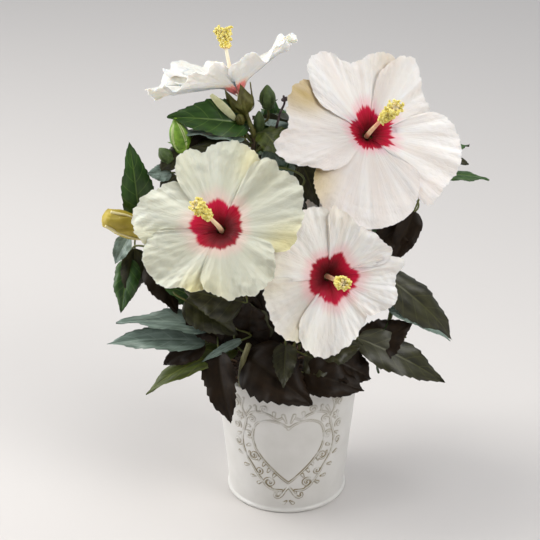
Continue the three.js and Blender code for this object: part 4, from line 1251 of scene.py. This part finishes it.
def make_foliage(wood):
    """All leaves, joined by tone, with the twigs and leaf stalks that carry them."""
    masses = [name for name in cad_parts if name.startswith("leaves_")]
    crown = Crown(masses)
    chance = np.random.default_rng(SEED + 900)
    stems = Heap()
    grown = []
    taken = []

    def settle(foot, tip, wide, faces, bend, tone, slack):
        seed = len(grown) * 7 + 3
        points, place = leaf_points(foot, tip, wide, faces, bend, seed)
        middle = points[LEAF_ROWS // 2, 5]
        if slack is not None:
            if not crown.clear(points.reshape(-1, 3)[::3], slack):
                return False
            if taken and np.linalg.norm(np.array(taken) - middle, axis=1).min() < LEAF_GAP:
                return False
        grown.append((points, place, tone))
        taken.append(middle)
        return True

    for foot, tip, wide, faces, bend, tone in KEY_LEAVES:
        settle(foot, tip, wide, faces, bend, LEAF_TONES.index(tone), None)
        way = unit(grown[-1][0][1, 5] - grown[-1][0][0, 5])
        stalk(stems, wood, np.array(foot, float) + way, way, (1.15, 0.8))
    for name in masses:
        if name.removeprefix("leaves_") in PLACED_ONLY:
            continue
        low, high = (np.array(side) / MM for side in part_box(name))
        middle, half = (low + high) / 2, (high - low) / 2
        sprays = int(np.clip(round(np.prod(high - low) / SPRAY_VOLUME), 1, MOST_SPRAYS))
        for _ in range(sprays):
            for _ in range(8):
                target = middle + half * unit(chance.normal(size=3)) * chance.uniform(0.2, 0.7)
                if crown.clear(target[None], 0):
                    break
            tone = chance.choice(4, p=(0.42, 0.34, 0.12, 0.12))
            out = unit(target - CROWN_HEART + 0.5 * chance.normal(size=3) * (20, 20, 20))
            twig = stalk(Heap(), wood, target, out, (2.0, 1.2))
            start, kept = chance.uniform(0, 6.3), 0
            for k in range(SPRAY_LEAVES):
                part = 1.0 - 0.09 * k
                spot = int(part * (len(twig) - 1))
                way = unit(twig[min(spot + 1, len(twig) - 1)] - twig[spot - 1])
                side = unit(np.cross(way, (0.3, 0.2, 0.93)))
                turn = start + LEAF_TURN * k
                away = math.cos(turn) * side + math.sin(turn) * np.cross(way, side)
                aim = unit(away * chance.uniform(0.7, 1.1) + way * chance.uniform(0.4, 0.9) + (0, 0, 0.15))
                foot = twig[spot] + aim * chance.uniform(10, 22)
                long = chance.uniform(44, 72) * (0.75 if k == 0 else 1)
                droop = unit(aim + (0, 0, -chance.uniform(0.15, 0.75)))
                tip = foot + droop * long
                faces = unit(np.array([0, 0, 1.0]) + 0.55 * away + 0.25 * chance.normal(size=3))
                shade = tone if chance.uniform() < 0.75 else chance.choice(4)
                wide = long * chance.uniform(0.5, 0.66)
                if settle(foot, tip, wide, faces, chance.uniform(15, 60), shade, 6):
                    tube(stems, smooth_route([twig[spot], foot, foot + 3 * droop], 3.0), 0.75, 6)
                    kept += 1
            if kept:
                tube(stems, twig, np.linspace(2.0, 1.0, len(twig)), 8, bark_relief(kept, 0.03))
    print(len(grown), "leaves")
    green = soft_tissue("young_green_stem", "4E5A26", "6B6A34", 12, 0.55)
    make_piece("twigs_and_leaf_stalks", stems, [green])
    under = leaf_back()
    skins = [
        leaf_face("leaf_face_deep_green", ("1E1D0D", "3A3A1D"), "4E4F28", 0.4),
        leaf_face("leaf_face_mid_green", ("24401A", "3E6028"), "6F8C40", 0.36),
        # painted reflection: the blue-grey face stands in for the sky seen in the leaves' gloss
        leaf_face("leaf_face_painted_sky_sheen", ("55655B", "8C9F94"), "9DAEA2", 0.3),
        leaf_face("leaf_face_olive", ("3A4018", "5C6A28"), "7F8438", 0.36),
        leaf_face("leaf_face_shaded_brown_green", ("150C04", "26190A"), "281E0E", 0.5, 0.2),
    ]
    for tone, skin in enumerate(skins):
        mine = [leaf for leaf in grown if leaf[2] == tone]
        heap = Heap()
        for (points, place, _), cell in zip(mine, cells(len(mine))):
            blade(heap, points, LEAF_THICKNESS, (0, 1), cell, place=place)
        mass_share = masses[tone :: len(skins)]
        make_piece("leaves_" + LEAF_TONES[tone] + "_tone", heap, [skin, under], mass_share)


def sepals_round(heap, foot, way, long, radius, count, tone, rim=None, flare=1.0):
    """Sepals that clasp a bud from its foot: pointed blades, with a raised rim if rim names its material,
    pale as a painted highlight. flare is how far their tips stand off, in radii."""
    side = unit(np.cross(way, (0.2, 0.3, 0.9) if abs(way[2]) < 0.9 else (1, 0.2, 0)))
    for k in range(count):
        turn = 2 * math.pi * k / count + 0.4
        out = math.cos(turn) * side + math.sin(turn) * np.cross(way, side)
        over = np.cross(way, out)
        line = [foot + 0.35 * radius * out, foot + 0.3 * long * way + 1.05 * radius * out]
        line += [foot + 0.7 * long * way + 0.95 * radius * out, foot + long * way + flare * radius * out]
        line = smooth_route(line, 1.2)
        half = 0.62 * radius * np.sin(np.linspace(0.5, math.pi - 0.06, len(line))) ** 0.8
        grid = ribbon(line, over, half, 7)
        grid = grid - out * (np.linspace(-1, 1, 7)[:, None] ** 2 * 0.2 * half[:, None, None])
        blade(heap, grid, 0.4, (tone, tone), (0, 0, 1, 1), place=grid)
        if rim is not None:
            for edge in (0, -1):
                tube(heap, grid[:-1, edge] + 0.1 * out, 0.55, 6, tone=rim)


# Buds: the foot and the tip of the rolled yellow one, and for each small green one its foot, tip, radius,
# length, tone and the tone of its rims, which are painted pale as a highlight
YELLOW_BUD = [(-108, -2, 252), (-157, -19, 279)]
SMALL_BUDS = [
    ((-17, 22, 338), (-18, 22, 385), 6.0, 21, 1, None),
    ((-90, 6, 328), (-97, 8, 360), 7.6, 31, 2, 3),
    ((-98, 4, 318), (-111, 4, 334), 5.0, 15, 1, None),
    ((-25, 16, 340), (-25, 15, 364), 4.0, 19, 1, None),
    ((-40, 17, 352), (-43, 12, 362), 3.4, 11, 0, None),
]

# What stands beside the buds: each one's route from its foot, and the withered stalk's dry head
WITHERED_STALK = [(-13, 20, 334), (-10.5, 18, 346), (-6.5, 18, 362), (-3, 18, 372), (-4, 18, 377)]
WITHERED_HEAD = (-2.5, 18, 374)
CREAM_BRACT = [(-45, 15, 356), (-54, 12, 367), (-66, 9, 381)]
YOUNG_SHOOT = [(-34, -42, 116), (-41, -52, 136), (-40, -50, 152), (-34, -46, 170)]


def make_buds(wood):
    """The closed yellow bud on the left, the green bud at the top, the small ones between the leaves, and
    what stands beside them: a withered stalk, a pale bract and a young shoot out of the compost. Returns
    the heap of what is green, to which the blooms add their calyxes, and its materials."""
    rolled, green = Heap(), Heap()
    foot, tip = np.array(YELLOW_BUD, float)
    way = unit(tip - foot)
    stalk(green, wood, foot, way, (1.8, 1.6))
    route = smooth_route([foot - 2 * way, foot + 12 * way, tip], 1.2)
    part = np.linspace(0, 1, len(route))
    radii = 4.5 + 6.2 * ease(0, 0.6, part) - 2.4 * ease(0.76, 1, part)

    def wrap(turn, reach):
        # the petals are rolled round each other, so their edges run round the bud as steep spirals
        spiral = (5 * (turn / (2 * math.pi)) + reach / 26) % 1
        return 1 + 0.15 * (spiral - 0.5) * ease(6, 22, reach)

    tube(rolled, route, radii, 60, wrap)
    side = unit(np.cross(way, (0.2, 0.3, 0.9)))
    turns = np.linspace(0, 2 * math.pi, 34)
    rims = (
        # middle along the bud, radius and turns: the rolled margins show as edges round the tip, painted
        # pale as a highlight
        (49.5, 8.3, 1.0),
        (52.5, 5.4, 1.3),
    )
    for reach, radius, share in rims:
        swing = turns * share
        ring = np.cos(swing)[:, None] * side + np.sin(swing)[:, None] * np.cross(way, side)
        ring = foot + way * (reach + 1.5 * np.sin(2.5 * swing)[:, None]) + radius * ring
        tube(rolled, ring, 0.9, 7, tone=1)
    # two petal margins run along the bud, one above and one below, painted pale as a highlight
    for over in ((0, -0.45, 0.9), (0, -0.8, -0.6)):
        over = unit(np.array(over) - (np.array(over) @ way) * way)
        edge = route[8:] + over * (1.02 * radii[8:, None])
        tube(rolled, edge, np.linspace(0.4, 1.4, len(edge)), 8, tone=1)
    sepals_round(green, foot - 3 * way, way, 22, 8.0, 5, 0)

    def ribs(turn, reach):
        return 1 + 0.09 * np.cos(5 * turn) + 0.03 * np.cos(10 * turn)

    for foot, tip, radius, long, tone, rim in SMALL_BUDS:
        foot, tip = np.array(foot, float), np.array(tip, float)
        way = unit(tip - foot)
        head = tip - long * way
        stalk(green, wood, head, way, (1.3, 1.1))
        route = smooth_route([head, head + 0.5 * long * way, tip], 0.8)
        part = np.linspace(0, 1, len(route))
        shape = np.sin(math.pi * np.clip(part * 0.9 + 0.07, 0, 1)) ** 0.75
        tube(green, route, 0.92 * radius * shape, 30, ribs, tone=tone)
        sepals_round(green, head, way, 0.94 * long, radius, 5, tone, rim, 0.25)
        sepals_round(green, head - way, way, 0.42 * long, 0.75 * radius, 6, tone, None, 2.0)

    withered = smooth_route(WITHERED_STALK, 1.2)
    tube(green, withered, np.linspace(1.3, 0.9, len(withered)), 8, tone=4)
    knob(green, WITHERED_HEAD, (2.2, 2.2, 3.6), (0.75, 0, 0.3), 8, 6, tone=4, wobble=0.2, seed=3)
    line = smooth_route(CREAM_BRACT, 1.2)
    half = 3.8 * np.sin(np.linspace(0.35, math.pi - 0.3, len(line))) ** 0.7
    grid = ribbon(line, unit((0.75, -0.1, 0.65)), half, 7)
    blade(green, grid, 0.5, (5, 5), (0, 0, 1, 1), place=grid)
    shoot = smooth_route(YOUNG_SHOOT, 1.5)
    tube(green, shoot, np.linspace(3.2, 2.4, len(shoot)), 12, bark_relief(5, 0.02), tone=6)

    petals = soft_tissue("rolled_bud_petal", "A38D24", "C8B244", 14, 0.5)
    # painted highlight: the margins' pale colour stands in for light on the rolled edges
    margins_painted_highlight = soft_tissue("rolled_margin_painted_highlight", "ECDC94", "F6EAB4", 8, 0.5)
    tones = [
        soft_tissue("calyx_and_sepal", "4C4618", "686828", 6, 0.6),
        soft_tissue("ribbed_green_bud", "36491C", "526634", 5, 0.6),
        soft_tissue("lime_bud", "4F7A1E", "8DB33A", 7, 0.5),
        # painted highlight: the pale rims stand in for light catching the sepals' edges
        soft_tissue("rim_painted_highlight", "A8BC70", "D0DCA0", 6, 0.6),
        soft_tissue("withered_stalk", "3E3236", "6A5A5C", 4, 0.8),
        soft_tissue("cream_bract", "D8D8A4", "ECECC4", 6, 0.55),
        soft_tissue("young_olive_shoot", "6E6A48", "8A865C", 10, 0.6),
    ]
    make_piece("bud_rolled_petals", rolled, [petals, margins_painted_highlight], ["bud_left"])
    return green, tones


def make_blooms(wood, green):
    """The five blooms: petals, columns and anthers, and their calyxes and stalks in the green heap."""
    deep = [(0.05, "5A0C12"), (0.3, "6E0A18"), (0.55, "9A0422"), (0.8, "BA0432"), (1.0, "D01048")]
    rosy = [(0.15, "E67C84"), (0.35, "F49A9C"), (0.6, "F8B8B0")]
    # The third tone of each skin is painted shade, mixed into petals that lie in shade.
    cream, blush = ("D2D3C2", "E3E4D6", "B4B4A4"), ("EEE4DE", "F9F4F0", "D0C8C4")
    # The top bloom's face is a darker white than its back: painted shade where the lamps above light it
    # most.
    white, white_face_painted_shade = ("F8F7F0", "FFFEFA", "E0E0D8"), ("DAD9D2", "E6E5E0", "C6C6BE")
    rose = ("F6ECE4", "FFFAF4", "CCC8BE")
    tissues = {
        "cream": [
            petal("petal_cream_white", cream, "DCD08A", "F0C4C0", 1.0, 0.09, 0.5, deep),
            petal("petal_cream_white_back", cream, "E2D88C", "F4D6CF", 0.9, 0.05, 0.5, deep),
        ],
        "blush": [
            petal("petal_blush_white", blush, "C4AE78", "F2A2B4", 1.0, 0.16, 0.6, deep),
            petal("petal_blush_white_back", blush, "D8CDA0", "F4C8CC", 0.9, 0.08, 0.5, deep),
        ],
        "rose": [
            petal("petal_rose_white", rose, "D8CDA8", "F4A4B0", 1.0, 0.09, 0.4, deep),
            petal("petal_rose_white_back", blush, "D8CDA0", "F4C8CC", 0.9, 0.08, 0.5, deep),
        ],
        "white": [
            petal("petal_white", white_face_painted_shade, "DEDAA0", "F2B8B8", 1.0, 0.1, 0.5, deep, 1.0),
            petal("petal_white_back", white, "E8E4A8", "F8B0A8", 0.5, 0.1, 0.5, rosy, 1.0),
        ],
    }
    column = soft_tissue("stamen_column", "EDA884", "F4DCB0", 18, 0.5)
    pale_column = soft_tissue("pale_stamen_column", "EEE4C0", "F6F0D8", 18, 0.5)
    thread = soft_tissue("filament_and_style", "F2E8C8", "FAF4DC", 5, 0.5)
    pollen = soft_tissue("ripe_pollen", "DEC84A", "F8F0A4", 1.6, 0.85, 0.3)
    pad = soft_tissue("stigma_pad", "E8D08A", "F2E2B0", 2, 0.7, 0.2)
    for index, (name, bloom) in enumerate(BLOOMS.items()):
        make_petals(name, bloom, tissues[bloom["looks"]], index)
        make_calyx(green, bloom)
        foot = stand(bloom, [(0, 0, CALYX_FOOT)])[0]
        near = stand(bloom, [(0, 0, -46)])[0]
        faces = unit(bloom["faces"])
        route = stalk(Heap(), wood, near, faces, (1.9, 1.7))
        route = smooth_route([*route[::4], near, foot + 3 * faces], 1.6)
        tube(green, route, np.linspace(1.9, 2.1, len(route)), 9)
    make_stamens(BLOOMS.values(), [column, pale_column, thread, pollen, pad])


# The photo's camera, in metres: a long lens that looks down on the plant
CAMERA_PLACE = (-0.0156, -1.3295, 0.8401)
LENS_MM, FRAME_MM = 110, 36
DEGREES_DOWN = 25


def make_stage():
    """A pale floor, the photo's camera, and soft light: a window behind on the left, and weaker light
    from above, from the room in front on the right and from low on the left."""
    bpy.ops.mesh.primitive_plane_add(size=16)
    floor = bpy.context.object
    floor.name = "floor"
    material = start_material("pale_matt_floor", {"Base Color": "D2CECB", "Roughness": 0.7})[0]
    floor.data.materials.append(material)
    world = bpy.data.worlds.new("soft_daylight")
    world.use_nodes = True
    tree = world.node_tree
    ways = add(tree, "TexCoord").outputs["Generated"]
    depth = add(tree, "SeparateXYZ", {0: ways}).outputs[1]
    limits = {"Value": depth, "From Min": -0.7, "From Max": 0.5, "To Min": 0.15, "To Max": 0.9}
    strength = add(tree, "MapRange", limits).outputs["Result"]
    feed(tree, tree.nodes["Background"], {"Color": "E4E8EE", "Strength": strength})
    bpy.context.scene.world = world
    lamps = (
        ("window", (-1.2, 0.4, 1.8), 1.2, 24, "FFFCF6"),
        ("skylight", (0.25, -0.45, 2.3), 0.8, 9, "FFFFFF"),
        ("room", (1.1, -0.9, 1.3), 0.8, 15, "FFFDFA"),
        ("low_left", (-1.5, -0.1, 0.5), 0.8, 10.5, "FFFFFF"),
    )
    for name, place, size, power, tint in lamps:
        lamp = bpy.data.lights.new(name, "AREA")
        lamp.size = size
        lamp.energy = power
        lamp.color = linear(tint)[:3]
        holder = bpy.data.objects.new(name, lamp)
        holder.location = place
        holder.rotation_euler = (Vector((0, 0, 0.2)) - Vector(place)).to_track_quat("-Z", "Y").to_euler()
        bpy.context.scene.collection.objects.link(holder)
    camera = bpy.data.objects.new("camera", bpy.data.cameras.new("camera"))
    camera.data.lens = LENS_MM
    camera.data.sensor_width = FRAME_MM
    camera.location = CAMERA_PLACE
    camera.rotation_euler = (math.radians(90 - DEGREES_DOWN), 0, 0)
    bpy.context.scene.collection.objects.link(camera)
    bpy.context.scene.camera = camera
    bpy.context.scene.view_settings.view_transform = "Standard"


make_stage()
make_pot()
make_soil()
wood = make_wood()
green, sepals = make_buds(wood)
make_blooms(wood, green)
make_piece("sepals_and_stalks", green, sepals, ["bud_top"])
make_foliage(wood)
